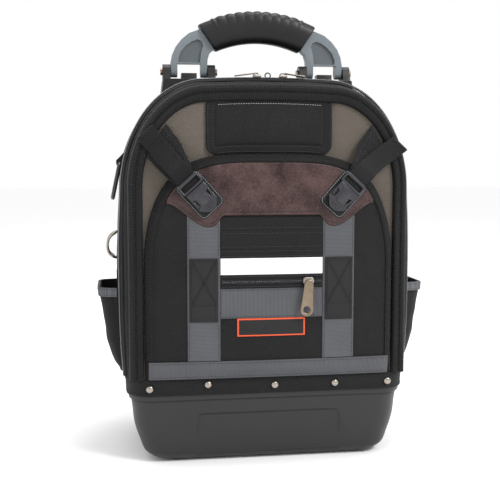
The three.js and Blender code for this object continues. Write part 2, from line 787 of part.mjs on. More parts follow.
// A shell between two nested families of arch rings, open at the back: the last ring of each family is
// bridged straight across from its right half to its left half.
function domed(outer, inner) {
  const count = outer[0].length;
  const middle = (count - 1) / 2;
  const across = 6;
  const points = [];
  const faces = [];
  const skin = (rings) => {
    const start = points.length;
    points.push(...rings.flat());
    for (let i = 0; i < rings.length - 1; i++) {
      for (let j = 0; j < count - 1; j++) {
        const a = start + i * count + j;
        faces.push([a, a + 1, a + count + 1], [a, a + count + 1, a + count]);
      }
    }
    const last = rings[rings.length - 1];
    const lastStart = start + (rings.length - 1) * count;
    const depthAt = (p, q, share) => {
      const x = lerp(p[0], q[0], share);
      const edge = (p[1] + q[1]) / 2;
      const bow = pocketBow * ((p[0] / pocketHalfWidth) ** 2 - (x / pocketHalfWidth) ** 2);
      return [x, edge - bow * fadeAt(p[2]), p[2]];
    };
    const rows = [];
    for (let j = 0; j < middle; j++) {
      const [p, q] = [last[j], last[count - 1 - j]];
      const row = [lastStart + j];
      for (let k = 1; k < across; k++) {
        row.push(points.length);
        points.push(depthAt(p, q, k / across));
      }
      row.push(lastStart + count - 1 - j);
      rows.push(row);
    }
    for (let j = 0; j < middle - 1; j++) {
      for (let k = 0; k < across; k++) {
        faces.push([rows[j][k], rows[j + 1][k], rows[j + 1][k + 1]], [rows[j][k], rows[j + 1][k + 1], rows[j][k + 1]]);
      }
    }
    const crest = lastStart + middle;
    for (let k = 0; k < across; k++) faces.push([rows[middle - 1][k], crest, rows[middle - 1][k + 1]]);
    return { start, lastStart, foot: [...rings.map((_, i) => start + i * count), ...rows[0].slice(1, -1),
      ...rings.map((_, i) => start + i * count + count - 1).reverse()] };
  };
  const out = skin(outer);
  const flipAfter = faces.length;
  const inn = skin(inner);
  for (let i = flipAfter; i < faces.length; i++) faces[i] = [faces[i][0], faces[i][2], faces[i][1]];
  for (let j = 0; j < count - 1; j++) {
    const a = out.start + j;
    const b = inn.start + j;
    faces.push([a, b + 1, a + 1], [a, b, b + 1]);
  }
  for (let j = 0; j < out.foot.length - 1; j++) {
    const [a, b] = [out.foot[j], out.foot[j + 1]];
    const [c, d] = [inn.foot[j], inn.foot[j + 1]];
    faces.push([a, b, d], [a, d, c]);
  }
  return closedGeometry(points, faces);
}

function fadeAt(z) {
  return readTable(pocketFootFade, (z - bodyFoot) / (greyBandTop - bodyFoot));
}

function pocket() {
  piece("front_pocket", pocketSolid(), colours.blackCloth);
}

// The binding's section: inset as shares of its width, lift as shares of its rise.
const bindingSection = [[0.02, 0], [0.2, 0], [0.55, 0], [0.97, 0], [0.97, 0.75], [0.75, 1], [0.3, 1.1], [-0.05, 0.9]];

function archBinding() {
  const lines = bindingSection.map(([inset, lift]) => {
    const outline = pocketLine(inset * bindingWidth, bindingFoot);
    return outline.map(([x, z]) =>
      [x, pocketFace(x, z, Math.max(0, inset * bindingWidth)) - gap - lift * bindingRise, z]);
  });
  const rings = lines[0].map((_, i) => lines.map((line) => line[i]));
  piece("arch_binding", loft(rings), colours.rim);
}

// What is sewn flat on the pocket

// A strip that follows the pocket's face between two edges that are functions of X. It takes its columns
// from a list of X, its rows from a list of shares.
function strip(columns, rows, bottom, top, lift, thick) {
  const left = columns[0];
  const width = columns[columns.length - 1] - left;
  return slab(columns.map((x) => (x - left) / width), rows, (u, v, side) => {
    const x = left + width * u;
    const z = lerp(bottom(x), top(x), v);
    return [x, pocketFace(x, z) - lift - side * thick, z];
  });
}

const level = (z) => () => z;
const bothSides = (list) => [...list.map((x) => -x).reverse(), ...list.filter((x) => x > 0)];
const sewn = gap;
const onTape = gap + tapeThick + gap;

// The lower edge of the leather: [share of its half width, drop below its straight edge in millimetres].
const lobeRows = [[0, 0], [0.46, 0], [0.5, 0.36], [0.545, 0.85], [0.61, 1], [0.67, 0.86], [0.78, 0.2], [1, -1.02]];
const leatherShares = [0, 0.15, 0.3, 0.46, 0.5, 0.545, 0.61, 0.67, 0.725, 0.78, 0.86, 0.93, 1];
const leatherColumns = leatherShares.map((share) => share * leatherHalfWidth);

function leatherBottom(x) {
  return leatherEdge - lobeDrop * readTable(lobeRows, Math.abs(x) / leatherHalfWidth);
}

function leatherYoke() {
  const top = (x) => Math.max(pocketCrest(x, bindingWidth) - gap, leatherBottom(x) + 1.5);
  const geometry = strip(bothSides(leatherColumns), 2, leatherBottom, top, sewn, leatherThick);
  piece("leather_yoke", geometry, colours.leather, { roughness: 0.5 });
}

function webbings() {
  [["left", -1], ["right", 1]].forEach(([side, sign]) => {
    const turned = (list) => list.map((x) => sign * x).sort((a, b) => a - b);
    const between = leatherColumns.filter((x) => x > webbingInner + 0.5 && x < webbingOuter - 0.5);
    const columns = turned([webbingInner, ...between, webbingOuter]);
    const top = (x) => leatherBottom(x) - gap;
    const knee = (pocketWallZ[1] - webbingFoot) / (leatherEdge - lobeDrop - webbingFoot);
    const webbing = strip(columns, [0, knee, 0.6, 1], level(webbingFoot), top, sewn, tapeThick);
    piece("webbing_" + side, webbing, colours.greyWeb);
    const inner = webbingInner + patchMargin;
    const outer = webbingOuter - patchMargin * 0.8;
    const patch = strip(turned([inner, (inner + outer) / 2, outer]), 1, level(patchBottom), level(patchTop),
      onTape, tapeThick);
    piece("patch_" + side, patch, colours.patch);
  });
}

function bands() {
  const half = webbingInner - gap;
  const edges = leatherColumns.filter((x) => x > half * 0.75 && x < half - 0.5);
  const columns = bothSides([0, half / 3, (half * 2) / 3, ...edges, half]);
  const band = (name, bottom, top, colour, thick = tapeThick) => piece(
    name, strip(columns, 1, level(bottom), top, sewn, thick), colour);
  const upperEdge = (x) => Math.min(leatherEdge - upperBandDrop, leatherBottom(x) - gap);
  band("upper_band", stripeTop + gap, upperEdge, colours.blackCloth);
  band("white_stripe", stripeBottom, level(stripeTop), colours.white);
  band("pocket_zip", webPanelTop + gap, level(stripeBottom - gap), colours.blackCloth, tapeThick * 1.6);
  band("web_panel", webPanelBottom, level(webPanelTop), colours.greyWeb);
  const labelColumns = spread(4, label.left, label.right);
  const labelTop = webPanelBottom - gap;
  piece("label_patch", strip(labelColumns, 1, level(labelTop - label.height), level(labelTop), sewn, tapeThick),
    colours.orange);
  const bevels = pocketEdge.map(([inset]) => pocketHalfWidth - inset).filter((x) => x < greyBandHalf).reverse();
  const flat = spread(3, 0, bevels[0]).slice(0, -1);
  const footKnee = pocketFootFade[1][0];
  piece("grey_band", strip(bothSides([...flat, ...bevels, greyBandHalf]), [0, footKnee, 1], level(bodyFoot + gap),
    level(greyBandTop), sewn * 2.2, tapeThick), colours.greyWeb);
}

function pocketZipFittings() {
  const { inset, length, width, height } = pocketSlider;
  const x = webbingInner - inset;
  const z = (webPanelTop + stripeBottom) / 2;
  const seat = pocketFace(x, z) - sewn - tapeThick * 1.6 - gap;
  const stem = 3;
  const pullTop = z + stem / 2;
  const pullBottom = pullTop - pullLength;
  const slider = joined(
    box(x - length / 2, x + length / 2, seat - height * 0.5, seat, z - width / 2, z + width / 2),
    box(x - length * 0.3, x + length * 0.3, seat - height, seat, z - stem / 2, z + stem / 2),
  );
  piece("pocket_zip_slider", toGeometry(slider), colours.nickel, { metalness: 0.9, roughness: 0.35 });
  const face = seat - height - gap;
  const halfTop = pullWidth * 0.33;
  const halfFoot = pullWidth / 2;
  const outline = new THREE.Shape();
  outline.moveTo(x - halfTop, pullTop);
  outline.lineTo(x - pullLean - halfFoot, pullBottom + halfFoot);
  outline.absarc(x - pullLean, pullBottom + halfFoot, halfFoot, Math.PI, 2 * Math.PI);
  outline.lineTo(x + halfTop, pullTop);
  const hole = new THREE.Path();
  hole.absarc(x - pullLean, pullBottom + halfFoot, pullWidth * 0.28, 0, 2 * Math.PI, true);
  outline.holes.push(hole);
  const geometry = prism(outline, pullThick);
  geometry.rotateX(Math.PI / 2);
  geometry.translate(0, face, 0);
  piece("pocket_zip_pull", geometry, colours.brass, { metalness: 0.9, roughness: 0.4 });
}

function topFlap() {
  const crest = (x) => bodyTop - rimWidth * rimTopShare - gap * 2 - crownRise * 1.2 * (x / cornerX) ** 2;
  const foot = (x) => Math.max(pocketTop - flap.hang, pocketCrest(x, 0) + gap * 2 + bindingRise * 0.1);
  const geometry = slab(8, 4, (u, v, side) => {
    const x = lerp(-cornerX - flap.overhang, cornerX, u);
    const puff = flap.puff * Math.sin(Math.PI * Math.min(1, Math.max(0, v))) ** 0.7 * (1 - (2 * u - 1) ** 4);
    return [x, -facePlane - gap - side * (flap.thick + puff), lerp(foot(x), crest(x), v)];
  });
  piece("top_flap", geometry, colours.blackCloth);
}

// The buckles: drawn for the right side, along +X towards the shoulder, and mirrored for the left

// The face of the pads, just clear of the leather under their inner corners.
const padFaceY = pocketFace(buckleX - padHalfLength, buckleZ) - sewn - leatherThick - gap;
const wingStart = padHalfLength + gap * 2;
const wingEndFace = -facePlane - gap - rimHeight * 0.76;

// The wing: distance along as a share of its run, its edges across as shares of its width, and how far its
// face has gone from the pads' plane to the rim's.
const wingRows = [
  { along: 0, low: -0.3, high: 0.3, sink: -0.03 },
  { along: 0.24, low: -0.35, high: 0.395, sink: 0 },
  { along: 0.45, low: -0.36, high: 0.465, sink: 0.36 },
  { along: 0.75, low: -0.37, high: 0.58, sink: 0.745 },
  { along: 1, low: -0.37, high: 0.63, sink: 1 },
];
const wingEndRun = 15;

function wing() {
  const rows = wingRows.length - 1;
  return slab(3, rows, (u, v, side) => {
    const row = wingRows[Math.round(v * rows)];
    const slant = row === wingRows[rows] ? wingEndRun * u : 0;
    const face = lerp(padFaceY, wingEndFace, row.sink);
    return [wingStart + wingRun * row.along + slant, face - side * wingThick, wingWidth * lerp(row.low, row.high, u)];
  });
}

// How far a loose end stands out where it crosses the plug's bar.
const tailLift = padThick + plugThick + gap * 4.6;
const slotMiddle = padHalfLength - plugBar - slotLength / 2;

// The loose end: distance along as a share of its reach past the plug, middle across as a share of its half
// width, how far it follows the wing towards the rim, and its lift as a share of the lift over the bar.
const tailRows = {
  left: [
    { along: 0.16, across: 0.04, sink: 0.07, lift: 0.45 },
    { along: 0.33, across: 0.08, sink: 0.47, lift: 0.52 },
    { along: 0.53, across: 0.12, sink: 0.83, lift: 0.5 },
    { along: 0.73, across: 0.16, sink: 1, lift: 0.44 },
    { along: 1, across: 0.18, sink: 1, lift: 0.41 },
  ],
  right: [
    { along: 0.17, across: -0.08, sink: 0.07, lift: 0.45 },
    { along: 0.35, across: -0.25, sink: 0.47, lift: 0.55 },
    { along: 0.56, across: -0.49, sink: 0.83, lift: 0.68 },
    { along: 0.77, across: -0.74, sink: 1, lift: 0.82 },
    { along: 1, across: -0.98, sink: 1, lift: 1.1 },
  ],
};

function tail(side) {
  const start = padHalfLength * 1.1;
  const stations = [
    { x: slotMiddle - slotLength / 3, y: padFaceY - tailLift * 0.54, z: 0 },
    { x: slotMiddle + slotLength / 4, y: padFaceY - tailLift, z: 0 },
    { x: start, y: padFaceY - tailLift * 0.98, z: 0 },
    ...tailRows[side].map(({ along, across, sink, lift }) => ({
      x: lerp(start, tailReach[side], along),
      y: lerp(padFaceY, wingEndFace, sink) - tailLift * lift,
      z: tailHalfWidth * across,
    })),
  ];
  const last = stations.length - 1;
  return slab(2, last, (u, v, face) => {
    const { x, y, z } = stations[Math.round(v * last)];
    return [x, y - face * tailThick, z + lerp(-tailHalfWidth, tailHalfWidth, u)];
  });
}

function buckleSocket() {
  const inner = padFaceY - padThick - gap;
  const from = -padHalfLength + socketInset;
  const to = socketMouth;
  const w = socketHalfWidth;
  const outline = [
    [from + 3, -w * 0.62], [from + 9, -w], [to, -w], [to, w], [from + 9, w], [from + 3, w * 0.62],
    [from, w * 0.3], [from, -w * 0.3],
  ];
  const body = toSolid(prismY(outline, inner - socketThick, inner));
  const notch = (sign) => orient(prismY(
    [[-13, w * 1.2], [-10, w * 0.62], [-1, w * 0.55], [2, w * 1.2]].map(([x, z]) => [x, sign * z]),
    inner - socketThick - 1, inner - 1.6));
  return toGeometry(cut(body, notch(1), notch(-1)));
}

// The same shape with its faces turned out.
function orient(geometry) {
  const merged = mergeVertices(bare(geometry), 1e-3);
  const position = merged.getAttribute("position");
  const points = Array.from({ length: position.count }, (_, i) =>
    [position.getX(i), position.getY(i), position.getZ(i)]);
  const faces = [];
  for (let i = 0; i < merged.index.count; i += 3) faces.push([0, 1, 2].map((k) => merged.index.getX(i + k)));
  return closedGeometry(points, faces);
}

function bucklePlug() {
  const inner = padFaceY - padThick - gap;
  const from = socketMouth + gap;
  const to = padHalfLength;
  const w = padHalfWidth - 0.5;
  const plate = toSolid(box(from, to, inner - plugThick, inner, -w, w));
  const slotTo = to - plugBar;
  return toGeometry(cut(plate, box(slotTo - slotLength, slotTo, inner - plugThick - 1, inner + 1, -w + 2.2, w - 2.2)));
}

function bucklePad() {
  const outline = roundedRect(padHalfLength, padHalfWidth, 6, 2);
  return prismY(outline, padFaceY - padThick, padFaceY);
}

function buckles() {
  [["left", -1], ["right", 1]].forEach(([side, sign]) => {
    const place = new THREE.Group();
    place.position.set(sign * buckleX, 0, buckleZ);
    place.rotation.y = -sign * buckleTurn;
    backpack.add(place);
    const add = (name, geometry, colour, finish) =>
      piece(name + "_" + side, sign < 0 ? mirrored(geometry) : geometry, colour, finish, place);
    add("buckle_pad", bucklePad(), colours.blackCloth);
    add("buckle_socket", buckleSocket(), colours.buckle, { roughness: 0.5 });
    add("buckle_plug", bucklePlug(), colours.buckle, { roughness: 0.5 });
    add("wing", wing(), colours.blackCloth);
    add("strap_tail", tail(side), colours.blackCloth);
  });
}

// The side pockets and what hangs on the left side

// How far the pouch stands out at each height, as shares of its height and of its reach.
const pouchRows = [
  { up: 0, out: 0.12 }, { up: 0.1, out: 0.36 }, { up: 0.3, out: 0.58 }, { up: 0.6, out: 0.74 }, { up: 1, out: 1 },
];

// A pouch as a filled solid on the right side, grown outwards by a distance.
function pouchFill(grow, foot, top, rise) {
  const base = halfWidth - sidePocketSeat;
  const rings = pouchRows.map(({ up, out }) => {
    const z = lerp(foot, top, up) + (up === 1 ? rise : 0);
    const edge = skinX(0, Math.min(z, sidePocketTop)) + sidePocketReach * out + grow;
    const front = sidePocketFront - grow;
    const back = sidePocketBack + grow;
    const bend = sidePocketBend;
    return [
      [base, front, z], [edge - bend * 0.9 * out, front, z], [edge - bend * 0.3 * out, front + bend * 0.3, z],
      [edge, front + bend, z], [edge, back - bend, z], [edge - bend * 0.3 * out, back - bend * 0.3, z],
      [edge - bend * 0.9 * out, back, z], [base, back, z],
    ];
  });
  return toSolid(loft(rings));
}

function sidePockets() {
  const body = toSolid(bodyFill(gap));
  const outer = pouchFill(0, sidePocketFoot, sidePocketTop, 0);
  const inner = pouchFill(-sidePocketWall, sidePocketFoot + sidePocketWall * 2, sidePocketTop, 5);
  const pouch = outer.subtract(inner).subtract(body);
  const trimOuter = pouchFill(pocketTrimThick + gap, sidePocketFoot, sidePocketTop, 0);
  const trimInner = pouchFill(gap, sidePocketFoot - 1, sidePocketTop, 1);
  const window = box(halfWidth - 10, halfWidth + 60, -bodyDepth / 2, bodyDepth / 2,
    sidePocketTop - pocketTrimHeight, sidePocketTop + 10);
  const trim = trimOuter.subtract(trimInner).subtract(body).intersect(toSolid(window));
  [["left", -1], ["right", 1]].forEach(([side, sign]) => {
    const turn = (solid) => (sign < 0 ? mirrored(toGeometry(solid)) : toGeometry(solid));
    piece("side_pocket_" + side, turn(pouch), colours.blackCloth);
    piece("pocket_trim_" + side, turn(trim), colours.greyWeb);
  });
}

const ringMiddle = shoulderZ + ringRise - ringHeight / 2;

// The ring, leaning out at its foot; a larger wire gives the shape that clears it.
function ringShape(wire) {
  const steps = 18;
  const squareness = 0.75;
  const bend = (value) => Math.sign(value) * Math.abs(value) ** squareness;
  const path = Array.from({ length: steps }, (_, i) => {
    const angle = (i / steps) * 2 * Math.PI;
    return [bend(Math.cos(angle)) * (ringHeight / 2 - ringWire), bend(Math.sin(angle)) * (ringWidth / 2 - ringWire)];
  });
  const rings = path.map(([up, across], i) => {
    const before = path[(i + steps - 1) % steps];
    const after = path[(i + 1) % steps];
    const run = new THREE.Vector2(after[0] - before[0], after[1] - before[1]).normalize();
    return circle(wire, 6).map(([w, h]) => {
      const z = up + run.y * w;
      const y = across - run.x * w;
      return [
        z * Math.sin(ringLean) - h * Math.cos(ringLean), ringY + y,
        ringMiddle + z * Math.cos(ringLean) + h * Math.sin(ringLean),
      ];
    });
  });
  return loft(rings, true);
}

// The body's side at any height, the rounded corner included.
function skinSide(y, z) {
  if (z <= shoulderZ) return skinX(y, z);
  const out = swell(y, z);
  const up = Math.min(1, (z - shoulderZ) / (cornerRise + out));
  return cornerX + (cornerRun + out) * Math.sqrt(1 - up * up);
}

function sideFittings() {
  const barUp = ringHeight / 2 - ringWire;
  const barZ = ringMiddle + barUp * Math.cos(ringLean);
  const barX = -skinSide(ringY, barZ) - ringWire - gap * 3;
  const shift = barX - barUp * Math.sin(ringLean);
  piece("side_ring", ringShape(ringWire).translate(shift, 0, 0), colours.blackCloth, { roughness: 0.5 });
  const wrap = ringWire + gap * 2 + ringTabThick;
  const tab = prismY([
    [barX - wrap, barZ - wrap * 0.6], [barX - wrap, barZ + wrap * 0.6], [barX - wrap * 0.5, barZ + wrap],
    [barX + wrap, barZ + wrap * 2.6], [barX + wrap * 2.5, barZ + wrap * 2.6], [barX + wrap * 2.5, barZ - wrap * 2],
    [barX, barZ - wrap * 2], [barX - wrap * 0.5, barZ - wrap],
  ], ringY - ringTabHalf, ringY + ringTabHalf);
  const holder = cut(toSolid(orient(tab)), ringShape(ringWire + gap).translate(shift, 0, 0), bodyFill(gap));
  piece("side_ring_tab", toGeometry(holder), colours.blackCloth);
  const y = { front: clipFront, back: clipFront + clipSpan };
  const middleY = (y.front + y.back) / 2;
  const at = (z, out) => -skinX(middleY, z) - clipWire - gap - out;
  const corners = [
    [at(clipTop, 0), clipTop], [at(clipTop, clipReach), lerp(clipTop, clipFoot, 0.22)],
    [at(clipFoot, clipReach), lerp(clipFoot, clipTop, 0.19)],
    [at(clipFoot, 0), clipFoot],
  ];
  const path = [
    ...corners.map(([x, z]) => [x, y.front, z]),
    ...[...corners].reverse().map(([x, z]) => [x, y.back, z]),
  ];
  const rings = path.map((point, i) => {
    const before = new THREE.Vector3(...path[(i + path.length - 1) % path.length]);
    const after = new THREE.Vector3(...path[(i + 1) % path.length]);
    const here = new THREE.Vector3(...point);
    const into = here.clone().sub(before).normalize();
    const out = after.clone().sub(here).normalize();
    const run = into.clone().add(out).normalize();
    const centre = new THREE.Vector3(at(clipMiddle, clipReach / 3), middleY, clipMiddle);
    const radial = here.clone().sub(centre);
    radial.addScaledVector(run, -radial.dot(run)).normalize();
    const other = new THREE.Vector3().crossVectors(run, radial);
    const stretch = 1 / Math.max(0.6, into.dot(run));
    return circle(clipWire, 6).map(([w, h]) =>
      here.clone().addScaledVector(radial, w * stretch).addScaledVector(other, h).toArray());
  });
  piece("side_clip", loft(rings, true), colours.nickel, { metalness: 1, roughness: 0.25 });
}

// The handle: two brackets on the body, four bolts, and the handle itself

const outerEar = armOuter + earGap;
const innerEar = armInner - earGap;
const boltSides = 10;

function bracket() {
  const foot = bracketFoot - 26;
  const base = prismY([
    [innerEar - earWidth - 3, foot], [outerEar + earWidth + 5, foot], [outerEar + earWidth + 3, bracketTop - 24],
    [outerEar + earWidth, bracketTop], [innerEar - earWidth, bracketTop],
  ], -bracketHalfDepth, bracketHalfDepth);
  const earOutline = [[-bracketHalfDepth * 0.85, bracketTop - 8], [bracketHalfDepth * 0.85, bracketTop - 8]];
  spread(8, 0, Math.PI).forEach((angle) => earOutline.push(
    [earRadius * Math.cos(angle), pivotZ + earRadius * Math.sin(angle)]));
  const ear = (from, to) => prismX(earOutline, from, to);
  const block = box(armInner + blockInset, armOuter - blockInset, -blockHalfDepth, blockHalfDepth,
    bracketTop - earRadius, pivotZ - blockDrop);
  const solid = joined(base, ear(outerEar, outerEar + earWidth), ear(innerEar - earWidth, innerEar), block)
    .subtract(toSolid(bodyFill(gap)));
  const bore = prismX(circle(boltRadius + boltPlay, boltSides).map(([y, z]) => [y, z + pivotZ]), 0, 200);
  const lower = box(0, 200, -60, 60, foot - 5, bracketFoot);
  return cut(solid, bore, lower);
}

function bolt(head, end) {
  const turn = Math.sign(end - head);
  const shank = prismX(circle(boltRadius, boltSides), Math.min(head, end), Math.max(head, end));
  const away = head - turn * boltHeadHeight;
  const cap = prismX(circle(boltHeadRadius, boltSides), Math.min(head, away), Math.max(head, away));
  return toGeometry(joined(shank, cap));
}

function brackets() {
  const shape = toGeometry(bracket());
  [["left", -1], ["right", 1]].forEach(([side, sign]) => {
    piece("handle_bracket_" + side, sign < 0 ? mirrored(shape) : shape.clone(), colours.bracket, { roughness: 0.6 });
    const bolts = {
      outer: bolt(outerEar + earWidth + gap, armOuter - legWidth + 0.5),
      inner: bolt(innerEar - earWidth - gap, armInner + legWidth - 0.5),
    };
    Object.entries(bolts).forEach(([place, geometry]) => {
      const placed = geometry.translate(0, 0, pivotZ);
      piece("handle_bolt_" + side + "_" + place, sign < 0 ? mirrored(placed) : placed, colours.nickel,
        { metalness: 0.9, roughness: 0.4 });
    });
  });
}

const gripSides = 10;

// A section of the grip: share runs from -1 at the left end to 1 at the right end.
function gripSection(share, scale, grow, ridge) {
  const low = [gripUnderHalf * share, gripUnderRise - (gripUnderRise - gripUnderEndRise) * share * share];
  const high = [gripEndHalf * share, gripRise - (gripRise - gripEndRise) * share * share];
  const middle = [(low[0] + high[0]) / 2, (low[1] + high[1]) / 2];
  const span = Math.hypot(high[0] - low[0], high[1] - low[1]) / 2;
  const up = [(high[0] - middle[0]) / span, (high[1] - middle[1]) / span];
  return Array.from({ length: gripSides }, (_, i) => {
    const angle = (i / gripSides) * 2 * Math.PI;
    const power = 0.72;
    const c = Math.sign(Math.cos(angle)) * Math.abs(Math.cos(angle)) ** power;
    const s = Math.sign(Math.sin(angle)) * Math.abs(Math.sin(angle)) ** power;
    const lift = ridge * Math.max(0, c);
    const along = c * (span * scale + grow) + lift;
    return [middle[0] + up[0] * along, s * (gripHalfDepth * scale + grow), middle[1] + up[1] * along];
  });
}

function gripSpan(from, to, scale, grow) {
  return loft([gripSection(from, scale, grow, 0), gripSection(to, scale, grow, 0)]);
}

// The arm's outline in X and Z from the outer leg's foot round to the inner leg's foot, on the right.
function armOutline() {
  const x = (share) => lerp(armInner, armOuter, share);
  const z = (share) => lerp(windowRise, gripEndRise, share);
  const face = (share, lift) => {
    const run = [gripEndHalf - gripUnderHalf, gripEndRise - gripUnderEndRise];
    const size = Math.hypot(...run);
    return [gripUnderHalf + run[0] * share + (lift * run[1]) / size,
      gripUnderEndRise + run[1] * share - (lift * run[0]) / size];
  };
  return [
    [x(1), -earRadius], [x(1), z(0)], [x(0.96), z(0.22)], [x(0.86), z(0.43)], [x(0.7), z(0.62)],
    [x(0.49), z(0.78)], face(0.84, gap), face(0.08, gap),
    [x(-0.06), z(0.27)], [x(-0.01), z(0.12)], [x(0), z(0)], [x(0), -earRadius],
  ];
}

// The recess on each face of the arm, inside its raised edge.
function recessOutline() {
  const x = (share) => lerp(armInner, armOuter, share);
  const z = (share) => lerp(windowRise, gripEndRise, share);
  return [
    [x(0.2), z(0.03)], [x(0.79), z(0.03)], [x(0.78), z(0.16)], [x(0.71), z(0.32)], [x(0.58), z(0.45)],
    [x(0.42), z(0.56)], [x(0.27), z(0.62)], [x(0.16), z(0.58)], [x(0.11), z(0.47)], [x(0.17), z(0.3)],
  ];
}

function handleArm() {
  const half = armThick / 2;
  const plate = toSolid(orient(prismY(armOutline(), -half, half)));
  const windowBox = box(armInner + legWidth, armOuter - legWidth, -half - 1, half + 1, -earRadius * 2, windowRise);
  const recess = (from, to) => orient(prismY(recessOutline(), from, to));
  const gripBody = toSolid(grippedBody(gap));
  const legEnds = legRound(half);
  const tang = toSolid(gripSpan(1 - tangLength, 1.07, tangShare, 0));
  const arm = cut(plate, windowBox, recess(webThick / 2, half + 1), recess(-half - 1, -webThick / 2))
    .subtract(gripBody).intersect(legEnds).add(tang.subtract(toSolid(farSide())));
  return cut(arm, prismX(circle(boltRadius + boltPlay, boltSides), 0, 200));
}

// A block that keeps the arm, with its foot rounded about the bolts.
function legRound(half) {
  const outline = [];
  spread(8, Math.PI, 2 * Math.PI).forEach((angle) =>
    outline.push([half * Math.cos(angle), half * Math.sin(angle)]));
  outline.push([half, 120], [-half, 120]);
  return toSolid(orient(prismX(outline, 0, 200)));
}

function farSide() {
  return box(-200, gripUnderHalf * 0.5, -40, 40, -60, 140);
}

function grippedBody(grow) {
  const sections = spread(8, -1, 1).map((share) => gripSection(share, 1, grow, gripRidgeRise));
  return loft(sections);
}

function handle() {
  const place = new THREE.Group();
  place.position.set(0, 0, pivotZ);
  backpack.add(place);
  const arm = toGeometry(handleArm());
  const finish = { roughness: 0.45 };
  piece("handle_arm_right", arm, colours.arm, finish, place);
  piece("handle_arm_left", mirrored(arm), colours.arm, finish, place);
  const stations = gripRidges * 2;
  const rings = spread(stations, -1, 1).map((share, i) =>
    gripSection(share * 0.995, 1, -0.05, Math.abs(share) < 0.8 && i % 2 === 0 ? gripRidgeRise : 0));
  const socketEnd = tangLength + 0.02;
  const solid = cut(toSolid(loft(rings)), gripSpan(1 - socketEnd, 1.1, tangShare, gap),
    gripSpan(-1.1, -1 + socketEnd, tangShare, gap));
  piece("handle_grip", toGeometry(solid), colours.grip, {}, place);
}

// The shoulder straps hang behind the back pad, sewn at the top and near the foot

// Height as a share of the body's top, place across as a share of half the width, clear space behind the
// strap as a share of twice the pad's thickness, width and thickness as shares of the padded strap's own.
const strapRows = [
  { up: 0.94, across: 0.27, off: 0.07, width: 0.8, thick: 0.75 },
  { up: 0.9, across: 0.29, off: 0.24, width: 0.9, thick: 1 },
  { up: 0.84, across: 0.32, off: 0.6, width: 1, thick: 1 },
  { up: 0.76, across: 0.36, off: 0.92, width: 1, thick: 1 },
  { up: 0.66, across: 0.41, off: 1.04, width: 1, thick: 1 },
  { up: 0.56, across: 0.48, off: 0.98, width: 0.95, thick: 1 },
  { up: 0.47, across: 0.54, off: 0.8, width: 0.86, thick: 0.95 },
  { up: 0.43, across: 0.56, off: 0.74, width: 0.6, thick: 0.7 },
];
const strapTailRows = [
  { up: 0.425, across: 0.563, off: 0.87 },
  { up: 0.33, across: 0.62, off: 0.46 },
  { up: 0.275, across: 0.66, off: 0.03 },
];

// The face of the back pad at a height, near the middle of the back.
function backFace(z) {
  const top = backPadRows.map((row) => [bodyTop - rimWidth * row.inset * rimTopShare, row.rise]).reverse();
  const foot = backPadRows.map((row) => [bodyFoot + row.foot, row.rise]);
  return facePlane + backPadThick * Math.min(readTable(top, z), readTable(foot, z));
}

function shoulderStraps() {
  const standard = 2 * backPadThick;
  const rows = [
    ...strapRows.map((row) => ({ ...row, halfW: (strapWidth * row.width) / 2, halfT: (strapThick * row.thick) / 2 })),
    ...strapTailRows.map((row) => ({ ...row, halfW: strapWebbingWidth / 2, halfT: strapWebbingThick / 2 })),
  ];
  const path = rows.map(({ up, across, off, halfT }) =>
    [halfWidth * across, backFace(bodyTop * up) + gap + halfT + standard * off, bodyTop * up]);
  const section = (i) => roundedRect(rows[i].halfW, rows[i].halfT, rows[i].halfT * 0.75, 1);
  const strap = sweep(path, section);
  piece("shoulder_strap_right", strap, colours.blackCloth);
  piece("shoulder_strap_left", mirrored(strap), colours.blackCloth);
}

baseTub();
skirt();
rivets();
bodyGusset();
frontPanel();
backPanel();
rim("front_rim", -1);
rim("rear_rim", 1);
longZip("front_zip", -1);
longZip("rear_zip", 1);
topSlider("top_zip_slider_left", topSliderX.left);
topSlider("top_zip_slider_right", topSliderX.right);
pocket();
archBinding();
leatherYoke();
webbings();
bands();
pocketZipFittings();
topFlap();
buckles();
sidePockets();
sideFittings();
brackets();
handle();
shoulderStraps();

export default backpack;
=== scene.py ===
from math import cos, pi, radians, sin
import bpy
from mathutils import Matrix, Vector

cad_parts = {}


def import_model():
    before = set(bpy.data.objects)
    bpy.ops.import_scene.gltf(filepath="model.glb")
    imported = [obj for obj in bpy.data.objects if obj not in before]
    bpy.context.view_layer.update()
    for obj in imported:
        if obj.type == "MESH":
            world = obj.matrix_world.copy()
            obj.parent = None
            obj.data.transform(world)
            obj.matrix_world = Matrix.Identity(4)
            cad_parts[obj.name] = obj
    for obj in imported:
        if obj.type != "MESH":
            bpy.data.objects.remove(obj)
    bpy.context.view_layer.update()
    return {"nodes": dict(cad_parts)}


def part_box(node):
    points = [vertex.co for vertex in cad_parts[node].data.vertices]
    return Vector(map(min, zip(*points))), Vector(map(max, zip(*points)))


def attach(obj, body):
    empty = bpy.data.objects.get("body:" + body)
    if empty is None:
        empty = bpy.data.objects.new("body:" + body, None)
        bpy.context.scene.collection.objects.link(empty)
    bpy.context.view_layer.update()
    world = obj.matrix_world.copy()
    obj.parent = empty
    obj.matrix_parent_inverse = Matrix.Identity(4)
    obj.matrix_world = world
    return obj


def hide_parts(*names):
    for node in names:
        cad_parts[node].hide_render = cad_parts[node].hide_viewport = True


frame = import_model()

from types import SimpleNamespace

import bmesh
import bpy
import numpy as np
from bpy.props import FloatProperty, FloatVectorProperty, PointerProperty
from mathutils import Vector

bl_info = {
    "name": "Tool backpack",
    "version": (1, 0, 0),
    "blender": (4, 5, 0),
    "location": "3D View > Sidebar > Backpack",
    "description": "Dresses a tool backpack in cloth, leather, webbing and moulded plastic",
    "category": "Object",
}

MM = 0.001
GAP = 0.3
FRONT = (0, -1, 0)
